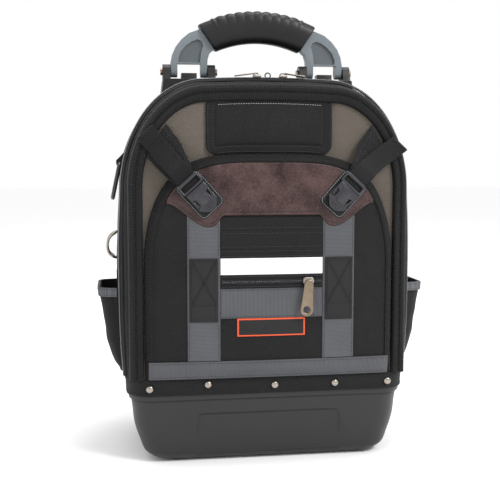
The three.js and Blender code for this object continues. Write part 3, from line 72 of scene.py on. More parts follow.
# Degrees: from CREASE a mesh shows an edge, and from BEVEL_FROM a CAD shape's edge is rounded.
CREASE = 42
BEVEL_FROM = 28
CLOTH_FRAMES = 20


def linear(code):
    """An sRGB hex colour as linear red, green and blue."""
    parts = [int(code[i:i + 2], 16) / 255 for i in (1, 3, 5)]
    return tuple(c / 12.92 if c <= 0.04045 else ((c + 0.055) / 1.055) ** 2.4 for c in parts)


def length(name, description, mm):
    """A length in metres, given in millimetres."""
    return FloatProperty(name=name, description=description, default=mm * MM, min=0, unit="LENGTH",
                         precision=4)


def tint(name, description, code):
    """A colour, given as sRGB hex."""
    return FloatVectorProperty(name=name, description=description, default=linear(code), size=3,
                               min=0, max=1, subtype="COLOR")


class BackpackSizes(bpy.types.PropertyGroup):
    body_width: length("Body width", "Width of the two faces of the body", 340)
    body_depth: length("Body depth", "Depth of the side wall", 210)
    body_top: length("Body top", "Height of the crown above the floor", 459)
    body_foot: length("Body foot", "Height at which the cloth starts", 106.3)
    corner_run: length("Corner run", "How far the top corner reaches across", 95)
    corner_rise: length("Corner rise", "How far the top corner reaches down", 123)
    side_bulge: length("Side bulge", "How far the side wall swells out", 12)
    wall: length("Cloth wall", "Thickness of the body's cloth", 3)
    rim_width: length("Rim width", "Width of the binding round each face", 18)
    rim_height: length("Rim height", "How far the binding stands off the face", 5.5)
    pocket_half: length("Pocket half width", "Half the width of the front pocket", 151.2)
    pocket_shoulder: length("Pocket shoulder", "Height at which the pocket starts to arch", 240)
    pocket_top: length("Pocket top", "Height of the arch", 376)
    pocket_depth: length("Pocket depth", "How far the pocket stands off the panel", 14.6)
    pocket_bow: length("Pocket bow", "How much less it stands off at its sides", 5)
    binding_width: length("Binding width", "Width of the tape round the arch", 10)
    tub_lip: length("Tub lip", "Height of the tub's lip", 84)
    tub_corner: length("Tub corner", "Radius of the tub's corners", 29)
    pivot: length("Handle pivot", "Height of the handle's axis", 481)
    thread: length("Thread", "Radius of the sewing thread, drawn a little stout to show", 0.36)
    stitch: length("Stitch pitch", "Distance from stitch to stitch", 3.4)


class BackpackColours(bpy.types.PropertyGroup):
    black_cloth: tint("Black cloth", "Body and pockets", "#1b1b1c")
    taupe_cloth: tint("Taupe cloth", "Front panel", "#5d564f")
    rim: tint("Rim", "Binding tapes", "#161617")
    grey_webbing: tint("Grey webbing", "Upright and level webbings", "#5c5d61")
    patch: tint("Patch", "Sewn patches and pads", "#262627")
    leather: tint("Leather", "Yoke over the pocket", "#2f1714")
    leather_edge: tint("Leather edge", "Cut edge of the yoke", "#5c3026")
    stripe: tint("Stripe", "White tape", "#f2f3f3")
    label: tint("Label", "Border of the blank label", "#cf4a1f")
    tub: tint("Tub", "Moulded tub", "#1b1b1c")
    grip: tint("Grip", "Soft grip", "#121214")
    arm: tint("Arm", "Arms of the handle", "#6a7277")
    bracket: tint("Bracket", "Brackets of the handle", "#151517")
    buckle: tint("Buckle", "Buckles and ring", "#26262b")


def measures():
    """Every size in millimetres."""
    group = bpy.context.scene.backpack_sizes
    return SimpleNamespace(**{key: getattr(group, key) / MM for key in BackpackSizes.__annotations__})


def colour(name):
    return tuple(getattr(bpy.context.scene.backpack_colours, name)) + (1,)


# Meshes from whole arrays

def quads(rows, columns, wrap=False, start=0):
    """Corner numbers of the faces between neighbours in a grid stored row by row."""
    i = np.arange(rows - 1)[:, None]
    j = np.arange(columns if wrap else columns - 1)[None, :]
    k = (j + 1) % columns
    faces = np.stack([i * columns + j, i * columns + k, (i + 1) * columns + k, (i + 1) * columns + j], -1)
    return faces.reshape(-1, 4) + start


def turned_out(points, faces):
    """The faces, all turned over if the volume that they enclose comes out negative."""
    total = 0
    for group in faces:
        a = points[group[:, 0]]
        for k in range(1, group.shape[1] - 1):
            total += np.einsum("ij,ij->", a, np.cross(points[group[:, k]], points[group[:, k + 1]]))
    return [group[:, ::-1] for group in faces] if total < 0 else faces


def slab_parts(outer, inner, uv):
    """A sheet with two faces and a closed border: outer and inner are grids of points of equal size."""
    rows, columns = outer.shape[:2]
    count = rows * columns
    points = np.concatenate([outer.reshape(-1, 3), inner.reshape(-1, 3)])
    front, back = quads(rows, columns), quads(rows, columns, start=count)[:, ::-1]
    grid = np.arange(count).reshape(rows, columns)
    border = np.concatenate([grid[0], grid[1:, -1], grid[-1, -2::-1], grid[-2:0:-1, 0]])
    after = np.roll(border, -1)
    sides = np.stack([after, border, border + count, after + count], -1)
    return points, turned_out(points, [front, back, sides]), np.concatenate([uv.reshape(-1, 2)] * 2)


def tube_parts(rings, closed=False, uv=None):
    """The surface through rings of points: closed on itself, or with a flat cap at each end."""
    stations, around = rings.shape[:2]
    points = rings.reshape(-1, 3)
    faces = quads(stations, around, wrap=True)
    if closed:
        last = (stations - 1) * around
        j = np.arange(around)
        k = (j + 1) % around
        faces = [np.concatenate([faces, np.stack([last + j, last + k, k, j], -1)])]
    else:
        caps = np.stack([np.arange(around)[::-1], np.arange(around) + (stations - 1) * around])
        faces = [faces, caps]
    if uv is None:
        uv = crossed(walked(rings.mean(1)), walked(rings[0]))
    return points, turned_out(points, faces), uv.reshape(-1, 2)


def together(parts):
    """Several sets of points, faces and UVs as one."""
    points, faces, uvs, start = [], [], [], 0
    for part in parts:
        points.append(part[0])
        faces += [group + start for group in part[1]]
        uvs.append(part[2])
        start += len(part[0])
    return np.concatenate(points), faces, np.concatenate(uvs)


def read(items, key):
    """A vector of every vertex or face as an array, one row each."""
    values = np.empty(len(items) * 3, np.float32)
    items.foreach_get(key, values)
    return values.reshape(-1, 3)


def piece(name, part, surface, replaces=(), body="pack", choose=None):
    """A mesh object from points in millimetres, with its UV map in metres, on its body; the CAD parts that
    it replaces are hidden.
    Its surface is a material's short name, or several with a function that chooses one for each face."""
    points, faces, uv = part
    mesh = bpy.data.meshes.new(name)
    sizes = np.concatenate([np.full(len(group), group.shape[1]) for group in faces])
    corners = np.concatenate([group.reshape(-1) for group in faces]).astype(np.int32)
    mesh.vertices.add(len(points))
    mesh.vertices.foreach_set("co", (points * MM).astype(np.float32).reshape(-1))
    mesh.loops.add(len(corners))
    mesh.loops.foreach_set("vertex_index", corners)
    mesh.polygons.add(len(sizes))
    mesh.polygons.foreach_set("loop_start", np.concatenate([[0], np.cumsum(sizes)[:-1]]).astype(np.int32))
    mesh.polygons.foreach_set("loop_total", sizes.astype(np.int32))
    layer = mesh.uv_layers.new(name="cut")
    layer.data.foreach_set("uv", (uv[corners] * MM).astype(np.float32).reshape(-1))
    for key in [surface] if isinstance(surface, str) else surface:
        mesh.materials.append(material(key))
    if choose is not None:
        mesh.polygons.foreach_set("material_index", choose(points, faces).astype(np.int32))
    mesh.update(calc_edges=True)
    mesh.validate()
    mesh.shade_smooth()
    mesh.set_sharp_from_angle(angle=radians(CREASE))
    obj = bpy.data.objects.new(name, mesh)
    bpy.context.collection.objects.link(obj)
    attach(obj, body)
    if replaces:
        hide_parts(*replaces)
    return obj


def refined(node, name, surface, bevel, segments=2, body="pack", web=None):
    """A CAD node's own shape with its edges rounded: its loose triangles are merged and its flats made
    whole. The thinned web, 4.2 mm either side of the handle's middle, can have its own surface."""
    source = frame["nodes"][node]
    mesh = source.data.copy()
    mesh.transform(source.matrix_world)
    work = bmesh.new()
    work.from_mesh(mesh)
    bmesh.ops.remove_doubles(work, verts=work.verts, dist=0.02 * MM)
    bmesh.ops.dissolve_limit(work, angle_limit=radians(1.5), verts=work.verts, edges=work.edges)
    work.to_mesh(mesh)
    work.free()
    mesh.materials.clear()
    mesh.materials.append(material(surface))
    # On the arm the web's second surface is darker: painted shade in its recess.
    if web:
        mesh.materials.append(material(web))
        deep, facing = read(mesh.polygons, "center")[:, 1], read(mesh.polygons, "normal")[:, 1]
        thinned = (np.abs(deep) < 4.3 * MM) & (np.abs(facing) > 0.9)
        mesh.polygons.foreach_set("material_index", thinned.astype(np.int32))
    obj = bpy.data.objects.new(name, mesh)
    bpy.context.collection.objects.link(obj)
    edge = obj.modifiers.new("Edge", "BEVEL")
    edge.width = bevel * MM
    edge.segments = segments
    edge.limit_method = "ANGLE"
    edge.angle_limit = radians(BEVEL_FROM)
    edge.use_clamp_overlap = True
    mesh.shade_smooth()
    mesh.set_sharp_from_angle(angle=radians(CREASE + 8))
    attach(obj, body)
    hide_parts(node)
    return obj


# Numbers and curves

def smooth(where, rows):
    """Reads a table of (where, value) rows along a cubic that never overshoots: each row's slope is the
    harmonic mean of the steps beside it, and nought at a turning point or an end."""
    xs, ys = np.array(rows, float).T
    steps = np.diff(ys) / np.diff(xs)
    same = steps[1:] * steps[:-1] > 0
    slopes = np.zeros(len(xs))
    total = np.where(same, steps[1:] + steps[:-1], 1)
    slopes[1:-1] = np.where(same, 2 * steps[1:] * steps[:-1] / total, 0)
    at = np.clip(where, xs[0], xs[-1])
    i = np.clip(np.searchsorted(xs, at, side="right") - 1, 0, len(xs) - 2)
    h = xs[i + 1] - xs[i]
    t = (at - xs[i]) / h
    return ((1 + 2 * t) * (1 - t) ** 2 * ys[i] + t * (1 - t) ** 2 * h * slopes[i]
            + t * t * (3 - 2 * t) * ys[i + 1] + t * t * (t - 1) * h * slopes[i + 1])


def step(low, high, x):
    """Nought below low, one above high, and a soft S between them."""
    t = np.clip((x - low) / (high - low), 0, 1)
    return t * t * (3 - 2 * t)


def edged(size, count, edge=1.2):
    """Stations from 0 to size, crowded at both ends so that an edge can be rounded there."""
    near = np.array([0, 0.12, 0.35, 0.7, 1]) * edge
    middle = np.linspace(edge, size - edge, count)[1:-1]
    return np.concatenate([near, middle, size - near[::-1]])


def roll(distance, edge=1.2):
    """The height of a rounded edge at a distance from it: a quarter of a circle."""
    t = 1 - np.clip(distance / edge, 0, 1)
    return np.sqrt(1 - t * t)


def rounded_rect(half_x, half_y, radius, steps=10):
    """Points round a rectangle with quarter circles for corners."""
    angle = (np.arange(4)[:, None] + np.linspace(0, 1, steps)[None, :]) * pi / 2
    sx = np.array([1, -1, -1, 1])[:, None]
    sy = np.array([1, 1, -1, -1])[:, None]
    x = sx * (half_x - radius) + radius * np.cos(angle)
    y = sy * (half_y - radius) + radius * np.sin(angle)
    return np.stack([x, y], -1).reshape(-1, 2)


def resampled(path, count):
    """A path at equal steps of its length."""
    where = walked(path)
    at = np.linspace(0, where[-1], count)
    return np.stack([np.interp(at, where, path[:, k]) for k in range(path.shape[1])], -1)


def walked(line):
    """The length of a line from its start to each of its points."""
    return np.concatenate([[0], np.cumsum(np.linalg.norm(np.diff(line, axis=0), axis=1))])


def crossed(a, b):
    """A grid of pairs, one for each value of a (rows) and of b (columns)."""
    return np.stack(np.meshgrid(a, b, indexing="ij"), -1)


def full_turn(count):
    """Equal angles round a circle."""
    return np.arange(count) * 2 * pi / count


def squared(values, power):
    """Sines or cosines flattened towards a square: the sign times the size to a power."""
    return np.sign(values) * np.abs(values) ** power


def closed_line(points):
    """A line with its first point again at its end."""
    return np.concatenate([points, points[:1]])


def unit(vectors):
    return vectors / np.maximum(np.linalg.norm(vectors, axis=-1, keepdims=True), 1e-9)


def rods(starts, ends, out, radius, rise, sides=5, blunt=0.5):
    """Short round rods from starts to ends, humped outwards by rise and thinner at both ends."""
    t = np.array([0, 0.22, 0.78, 1])
    hump = np.sin(pi * t) * rise
    middle = (starts[:, None] * (1 - t)[None, :, None] + ends[:, None] * t[None, :, None]
              + out[:, None] * hump[None, :, None])
    run = unit(ends - starts)
    side = unit(np.cross(run, out))
    up = np.cross(side, run)
    size = radius * np.array([blunt, 1, 1, blunt])
    angle = full_turn(sides)
    ring = (side[:, None, None] * np.cos(angle)[None, None, :, None]
            + up[:, None, None] * np.sin(angle)[None, None, :, None])
    points = (middle[:, :, None] + ring * size[None, :, None, None]).reshape(-1, 3)
    one = quads(4, sides, wrap=True)
    count = 4 * sides
    starts_at = np.arange(len(starts))[:, None, None] * count
    body = (one[None] + starts_at).reshape(-1, 4)[:, ::-1]
    cap = np.stack([np.arange(sides), np.arange(sides)[::-1] + 3 * sides])
    caps = (cap[None] + starts_at).reshape(-1, sides)
    return points, [body, caps], np.zeros((len(points), 2))


def seam(path, out, m, pitch=None):
    """A line of stitches along a path: equal rods over 0.68 of their pitch, a little sunk in."""
    reach, sunk = 0.68, 0.12
    pitch = pitch or m.stitch
    along = walked(path)
    count = max(2, int(round(along[-1] / pitch)))
    step_length = along[-1] / count
    middle = (np.arange(count) + 0.5) * step_length
    out = np.broadcast_to(np.asarray(out, float), path.shape)

    def at(where, values):
        return np.stack([np.interp(where, along, values[:, k]) for k in range(3)], -1)
    normal = unit(at(middle, out))
    half = step_length * reach / 2
    base = -normal * m.thread * sunk
    return rods(at(middle - half, path) + base, at(middle + half, path) + base, normal, m.thread,
                m.thread * 0.8)


# Forms of the body and the pocket

# The side wall's swell over its height and its depth, and its tuck under the rims.
BULGE_UP = [(.23, .5), (.305, .76), (.42, .97), (.53, 1), (.63, .88), (.73, .62), (.86, .55), (1, .75)]
BULGE_DEEP = [(0, 1), (.48, 1), (.65, .84), (.84, .38), (.9, .05), (.915, 0)]
TUCK_DEEP = [(.84, 0), (.9, .1), (.915, 1)]
# The pocket's share of its full depth: over the distance in mm from its edge, and over the height from
# its foot in widths of the level webbing.
POCKET_EDGE = [(0, 0), (2, .45), (5.5, .8), (10, .97), (18, 1)]
POCKET_FOOT = [(0, .42), (.6, .84), (1.5, 1)]
# How low the leather hangs, over the share of its half width.
LOBES = [(0, 0), (.46, 0), (.5, .36), (.545, .85), (.61, 1), (.67, .86), (.78, .2), (1, -1.02)]
# In mm: the level webbing's width, half the leather's width, the height of its edge, the sides of the
# upright webbings, the height of the pocket's zip, and the label's left, right, foot and top.
GREY_BAND = 22.7
LEATHER_HALF = 124.5
LEATHER_EDGE = 303.6
WEBBING = (62, 101)
ZIP_LINE = 224.6
LABEL = (-42, 40.5, 158.5, 180.3)


def rumple(a, b, size, seed):
    """Soft folds: five sine waves of falling height that cross each other at fixed angles."""
    total = 0
    for k in range(5):
        angle = seed * 1.7 + k * 2.4
        wave = 2 * pi / size * (0.55 + 0.35 * k)
        total = total + np.sin((a * cos(angle) + b * sin(angle)) * wave + seed * 3.1 + k) / (1 + 0.6 * k)
    return total / 2


def softened(points, times=2):
    """A closed outline whose corners are cut, each at a quarter and three quarters of its sides."""
    points = np.asarray(points, float)
    for _ in range(times):
        after = np.roll(points, -1, axis=0)
        near, far = points * 0.75 + after * 0.25, points * 0.25 + after * 0.75
        points = np.stack([near, far], 1).reshape(-1, points.shape[1])
    return points


def arch(m, walls=30, corners=26, crowns=18):
    """Stations of the body's outline from the right foot over the crown to the left foot: a straight wall,
    a quarter of an ellipse and a flat crown, as base points and the way that is outwards at each."""
    half = m.body_width / 2
    corner_x = half - m.corner_run
    shoulder = m.body_top - 2 - m.corner_rise
    up = np.linspace(m.body_foot, shoulder, walls, endpoint=False)
    angle = np.linspace(0, pi / 2, corners)
    share = np.linspace(1, 0, crowns)[1:]
    base = np.concatenate([
        np.stack([np.full(walls, half), up], -1),
        np.stack([corner_x + m.corner_run * np.cos(angle), shoulder + m.corner_rise * np.sin(angle)], -1),
        np.stack([corner_x * share, m.body_top - 2 * share ** 2], -1)])
    way = np.concatenate([np.tile([1.0, 0], (walls, 1)), np.stack([np.cos(angle), np.sin(angle)], -1),
                          np.tile([0, 1.0], (len(share), 1))])
    turned = np.array([-1.0, 1])
    return np.concatenate([base, base[-2::-1] * turned]), np.concatenate([way, way[-2::-1] * turned])


def face_of(m):
    """How far the faces of the body stand from its middle."""
    return m.body_depth / 2 - 1


def swell(m, y, z):
    """How far the side wall stands out: a hump over the height times one over the depth, less a tuck."""
    deep = np.abs(y) / (m.body_depth / 2)
    return (m.side_bulge * smooth(z / m.body_top, BULGE_UP) * smooth(deep, BULGE_DEEP)
            - m.wall * smooth(deep, TUCK_DEEP))


def skin(m, y, lift, stations):
    """The side wall's surface over depths y (rows) and the arch's stations (columns)."""
    base, way = stations
    y = np.atleast_1d(np.asarray(y, float))[:, None]
    out = swell(m, y, base[None, :, 1]) + lift
    points = base[None] + way[None] * out[..., None]
    return np.stack([points[..., 0], np.broadcast_to(y, out.shape), points[..., 1]], -1)


def pocket_inset(m, x, z):
    """How far inside the pocket's outline a point lies: the superellipse through it is found by halving."""
    rise = m.pocket_top - m.pocket_shoulder
    x, z = np.broadcast_arrays(np.abs(x).astype(float), np.asarray(z, float))
    up = np.maximum(z - m.pocket_shoulder, 0)
    low = np.zeros(x.shape)
    high = np.maximum(np.minimum(m.pocket_half - x, rise - up), 1e-6)
    for _ in range(26):
        middle = (low + high) / 2
        inside = (x / (m.pocket_half - middle)) ** 4 + (up / (rise - middle)) ** 2.15 < 1
        low, high = np.where(inside, middle, low), np.where(inside, high, middle)
    return np.where(z > m.pocket_shoulder, low, m.pocket_half - x)


def pocket_crest(m, x, inset):
    share = np.minimum(1, np.abs(x) / (m.pocket_half - inset)) ** 4
    return m.pocket_shoulder + (m.pocket_top - m.pocket_shoulder - inset) * (1 - share) ** (1 / 2.15)


def pocket_face(m, x, z, inset=None):
    """The pocket's face: full depth less a bow to the sides, rounded off at its edge and towards the foot,
    with soft folds where nothing is sewn on it."""
    inset = pocket_inset(m, x, z) if inset is None else inset
    free = step(104, 116, np.abs(x)) * (1 - step(262, 290, z)) * step(132, 146, z)
    below = (1 - step(50, 60, np.abs(x))) * step(131, 138, z) * (1 - step(150, 157, z))
    folds = 1.1 * free * rumple(x, z, 62, 2) + 0.5 * below * rumple(x, z, 40, 5)
    depth = m.pocket_depth - m.pocket_bow * (x / m.pocket_half) ** 2 + folds
    fade = smooth((z - m.body_foot) / GREY_BAND, POCKET_FOOT)
    return -face_of(m) - GAP - depth * smooth(inset, POCKET_EDGE) * fade


def pocket_line(m, inset, foot, walls=26, arcs=44):
    """The pocket's outline at an inset, from the right foot over the arch to the left foot, as x and z."""
    half, rise = m.pocket_half - inset, m.pocket_top - m.pocket_shoulder - inset
    angle = pi / 2 * np.linspace(1, 0, arcs) ** 1.3
    right = np.concatenate([
        np.stack([np.full(walls, half), np.linspace(foot, m.pocket_shoulder, walls, endpoint=False)], -1),
        np.stack([half * np.sin(angle) ** 0.5, m.pocket_shoulder + rise * np.cos(angle) ** (2 / 2.15)],
                 -1)])
    return np.concatenate([right, right[-2::-1] * np.array([-1.0, 1])])


def strip(m, left, right, bottom, top, lift, thick, columns=24, rows=24, edge=None, extra=None,
          turn=False):
    """A strip sewn on the pocket: x from left to right and z from bottom(x) to top(x), its outer face lift
    plus thick off the pocket and rounded at its four edges. Its UV runs across and along, or turned."""
    edge = edge or min(thick, 1.2)
    xs = left + edged(right - left, columns, edge)
    low, high = [f(xs) if callable(f) else np.full(len(xs), float(f)) for f in (bottom, top)]
    run = high - low
    share = edged(run.mean(), rows, edge) / run.mean()
    z = low[None] + share[:, None] * run[None]
    x = np.broadcast_to(xs[None], z.shape)
    reach = np.minimum.reduce([x - left, right - x, z - low, high - z])
    rise = thick * (0.2 + 0.8 * roll(reach, edge))
    if extra is not None:
        rise = rise + extra(x, z)
    base = pocket_face(m, x, z) - lift
    uv = np.stack([z, x] if turn else [x, z], -1)
    return slab_parts(np.stack([x, base - rise, z], -1), np.stack([x, base, z], -1), uv)


def on_pocket(m, x, z, lift):
    """A path on the pocket's face, lifted off it."""
    x, z = np.broadcast_arrays(np.asarray(x, float), np.asarray(z, float))
    return np.stack([x, pocket_face(m, x, z) - lift, z], -1)


def leather_bottom(x):
    return LEATHER_EDGE - 13.6 * smooth(np.abs(x) / LEATHER_HALF, LOBES)


def moved(part, axes, origin):
    """A part drawn in its own frame, set into the world by three axes and an origin. Faces that the frame
    turns inside out are turned back."""
    points = part[0] @ np.array(axes, float) + np.array(origin, float)
    return points, turned_out(points, part[1]), part[2]


def plate(outline, thick, edge=0.5, steps=4):
    """A flat plate with a rounded rim: its outline in the first two axes, its thickness in the third."""
    outline = np.asarray(outline, float)
    ahead, behind = np.roll(outline, -1, axis=0), np.roll(outline, 1, axis=0)
    run = unit(ahead - behind)
    inward = np.stack([-run[:, 1], run[:, 0]], -1)
    area = np.sum(outline[:, 0] * ahead[:, 1] - outline[:, 1] * ahead[:, 0])
    inward = inward if area > 0 else -inward
    angle = np.linspace(0, pi / 2, steps)
    inset = edge * (1 - np.sin(angle))
    height = edge * (1 - np.cos(angle))
    levels = np.concatenate([height, thick - height[::-1]])
    insets = np.concatenate([inset, inset[::-1]])
    flat = outline[None] + inward[None] * insets[:, None, None]
    rings = np.concatenate([flat, np.broadcast_to(levels[:, None, None], flat.shape[:2] + (1,))], -1)
    return tube_parts(rings)


def wire(path, radius, sides=10, closed=False, up=(0, 1, 0)):
    """A round wire along a path: a circle square to the run at every point."""
    ahead = np.roll(path, -1, axis=0) if closed else np.concatenate([path[1:],
                                                                     path[-1:] * 2 - path[-2:-1]])
    behind = np.roll(path, 1, axis=0) if closed else np.concatenate([path[:1] * 2 - path[1:2], path[:-1]])
    run = unit(ahead - behind)
    side = unit(np.cross(run, np.array(up, float)))
    other = np.cross(side, run)
    angle = full_turn(sides)
    radius = np.broadcast_to(np.asarray(radius, float), (len(path),))[:, None, None]
    rings = path[:, None] + radius * (side[:, None] * np.cos(angle)[None, :, None]
                                      + other[:, None] * np.sin(angle)[None, :, None])
    return tube_parts(rings, closed)


def teeth(path, across, out, pitch, half, radius, rise):
    """The coil of a zip: two rows of short rods, each half a pitch from its twin, meeting at the middle."""
    length_all = walked(path)
    count = int(length_all[-1] / pitch)
    sets = []
    for sign in (-1, 1):
        where = (np.arange(count) + 0.5 + sign * 0.25) * length_all[-1] / count
        at, way, up = [np.stack([np.interp(where, length_all, v[:, k]) for k in range(3)], -1)
                       for v in (path, np.broadcast_to(across, path.shape),
                                 np.broadcast_to(out, path.shape))]
        way, up = unit(way), unit(up)
        sets.append(rods(at - way * sign * half * 0.18, at + way * sign * half, up, radius, rise,
                         blunt=0.6))
    return together(sets)


# Materials

def add(tree, kind, inputs=None, **settings):
    """A shader node with its settings, and its inputs set or linked by name or number."""
    made = tree.nodes.new("ShaderNode" + kind)
    for key, value in settings.items():
        setattr(made, key, value)
    for key, value in (inputs or {}).items():
        if isinstance(value, bpy.types.NodeSocket):
            tree.links.new(value, made.inputs[key])
        else:
            made.inputs[key].default_value = value
    return made


def shade(rgb, by):
    return tuple(min(1.0, c * by) for c in rgb[:3]) + (1.0,)


def started(name, sockets):
    """A material with its shader, whose own sockets hold what is the same all over, and the object's own
    coordinates, which the patterns read."""
    made = bpy.data.materials.new(name)
    made.use_nodes = True
    shader = made.node_tree.nodes["Principled BSDF"]
    for key, value in sockets.items():
        shader.inputs[key].default_value = value
    return made, made.node_tree, shader, add(made.node_tree, "TexCoord").outputs["Object"]


def finished(tree, shader, factor, dark, light, height, distance, strength=1.0):
    """Colour from dark to light by a factor, and a bump from a height, a given number of mm deep."""
    mixed = add(tree, "Mix", {0: factor, 6: dark, 7: light}, data_type="RGBA", clamp_factor=True)
    tree.links.new(mixed.outputs[2], shader.inputs["Base Color"])
    bump = add(tree, "Bump", {"Height": height, "Distance": distance * MM, "Strength": strength})
    tree.links.new(bump.outputs[0], shader.inputs["Normal"])


def woven(name, base, pitch, depth, contrast=0.22, sheen=0.06, roughness=0.8, lines=False):
    """Cloth of two threads crossing: sin(u) times sin(v) of the cut map, a thread every pitch, or sin(v)
    alone for the crosswise lines of webbing, over the fuzz of its fibres and soft patches of tone."""
    made, tree, shader, place = started(name, {
        "Roughness": roughness, "Sheen Weight": sheen, "Sheen Roughness": 0.45,
        "Specular IOR Level": 0.16})
    cut = add(tree, "UVMap", uv_map="cut").outputs["UV"]
    turns = add(tree, "VectorMath", {0: cut, "Scale": pi / (pitch * MM)}, operation="SCALE").outputs[0]
    axes = add(tree, "SeparateXYZ", {0: turns})
    thread = add(tree, "Math", {0: axes.outputs["Y"]}, operation="SINE").outputs[0]
    if not lines:
        other = add(tree, "Math", {0: axes.outputs["X"]}, operation="SINE").outputs[0]
        thread = add(tree, "Math", {0: thread, 1: other}, operation="MULTIPLY").outputs[0]
    # Fibres stand about 0.4 mm apart and are drawn at 1.6 mm to show; the patches are 50 mm wide.
    fuzz = add(tree, "TexNoise", {"Vector": place, "Scale": 620.0, "Detail": 3.0,
                                  "Roughness": 0.6}).outputs[0]
    cloud = add(tree, "TexNoise", {"Vector": place, "Scale": 18.0, "Detail": 3.0}).outputs[0]
    tone = add(tree, "Math", {0: thread, 1: 0.2, 2: 0.0}, operation="MULTIPLY_ADD").outputs[0]
    tone = add(tree, "Math", {0: fuzz, 1: 0.9, 2: tone}, operation="MULTIPLY_ADD").outputs[0]
    tone = add(tree, "Math", {0: cloud, 1: 0.7, 2: tone}, operation="MULTIPLY_ADD").outputs[0]
    tone = add(tree, "Math", {0: tone, 1: 0.3}, operation="SUBTRACT").outputs[0]
    relief = add(tree, "Math", {0: fuzz, 1: 0.8, 2: thread}, operation="MULTIPLY_ADD").outputs[0]
    finished(tree, shader, tone, shade(base, 1 - contrast), shade(base, 1 + contrast), relief, depth)
    return made


def moulded(name, base, grain, depth, roughness=0.5, contrast=0.1, rub=0.0, specular=0.5):
    """Moulded plastic: fine spark-eroded grain, slight clouds 70 mm wide, and rubbed spots if wanted."""
    made, tree, shader, place = started(name, {
        "Roughness": roughness, "IOR": 1.5, "Specular IOR Level": specular})
    fine = add(tree, "TexNoise", {"Vector": place, "Scale": 1000.0 / grain, "Detail": 2.0}).outputs[0]
    cloud = add(tree, "TexNoise", {"Vector": place, "Scale": 14.0, "Detail": 4.0,
                                   "Roughness": 0.6}).outputs[0]
    tone = add(tree, "Math", {0: fine, 1: 0.6, 2: cloud}, operation="MULTIPLY_ADD").outputs[0]
    tone = add(tree, "Math", {0: tone, 1: 0.3}, operation="SUBTRACT").outputs[0]
    gloss = add(tree, "MapRange", {"Value": cloud, "From Min": 0.3, "From Max": 0.7,
                                   "To Min": roughness - 0.07 - rub,
                                   "To Max": roughness + 0.07}).outputs[0]
    tree.links.new(gloss, shader.inputs["Roughness"])
    finished(tree, shader, tone, shade(base, 1 - contrast), shade(base, 1 + contrast), fine, depth, 0.7)
    return made


def metal(name, base, roughness, tarnish_and_reflection=0.0):
    """Plated or bare metal: fine polishing scratches at 1 mm, and darker spots, where it has aged, and on
    the nickel plate as a painted reflection.
    """
    made, tree, shader, place = started(name, {"Metallic": 1.0, "Roughness": roughness})
    scratch = add(tree, "TexNoise", {"Vector": place, "Scale": 900.0, "Detail": 4.0}).outputs[0]
    spots = add(tree, "TexNoise", {"Vector": place, "Scale": 160.0, "Detail": 5.0,
                                   "Roughness": 0.65}).outputs[0]
    gloss = add(tree, "MapRange", {"Value": spots, "To Min": roughness * 0.6,
                                   "To Max": roughness * 1.6}).outputs[0]
    tree.links.new(gloss, shader.inputs["Roughness"])
    finished(tree, shader, spots, shade(base, 1 - 0.2 - tarnish_and_reflection), shade(base, 1.1), scratch, 0.03, 0.5)
    return made


def leather_hide(name, base):
    """Cowhide: a pebbled grain 1.8 mm wide, worn patches 30 mm wide lifted towards grey as a painted sheen,
    and a shine that follows them.
    """
    made, tree, shader, place = started(name, {
        "Roughness": 0.42, "IOR": 1.5, "Specular IOR Level": 0.3})
    pores = add(tree, "TexVoronoi", {"Vector": place, "Scale": 560.0},
                feature="SMOOTH_F1").outputs["Distance"]
    patch = add(tree, "TexNoise", {"Vector": place, "Scale": 34.0, "Detail": 6.0,
                                   "Roughness": 0.68}).outputs[0]
    tone = add(tree, "Math", {0: pores, 1: 0.35, 2: patch}, operation="MULTIPLY_ADD").outputs[0]
    tone = add(tree, "MapRange", {"Value": tone, "From Min": 0.45, "From Max": 0.87}).outputs[0]
    gloss = add(tree, "MapRange", {"Value": patch, "From Min": 0.3, "From Max": 0.7,
                                   "To Min": 0.26, "To Max": 0.6}).outputs[0]
    tree.links.new(gloss, shader.inputs["Roughness"])
    # Lighter, greyer patches: partly wear of the leather, partly a painted sheen.
    worn_and_sheen = tuple(1.7 * c + 0.026 for c in base[:3]) + (1.0,)
    finished(tree, shader, tone, shade(base, 0.45), worn_and_sheen, pores, 0.3, 0.9)
    return made


def air_mesh(name, base):
    """Spacer mesh: round holes 3.5 mm apart in a knitted face, painted dark inside as shade, read on Object
    coordinates.
    """
    made, tree, shader, place = started(name, {
        "Roughness": 0.85, "Sheen Weight": 0.05, "Sheen Roughness": 0.5, "Specular IOR Level": 0.16})
    holes = add(tree, "TexVoronoi", {"Vector": place, "Scale": 290.0,
                                     "Randomness": 0.15}).outputs["Distance"]
    deep = add(tree, "MapRange", {"Value": holes, "From Min": 0.18, "From Max": 0.5}).outputs[0]
    # The holes take the dark colour: painted shade inside them.
    finished(tree, shader, deep, shade(base, 0.35), shade(base, 1.25), deep, 0.8)
    return made


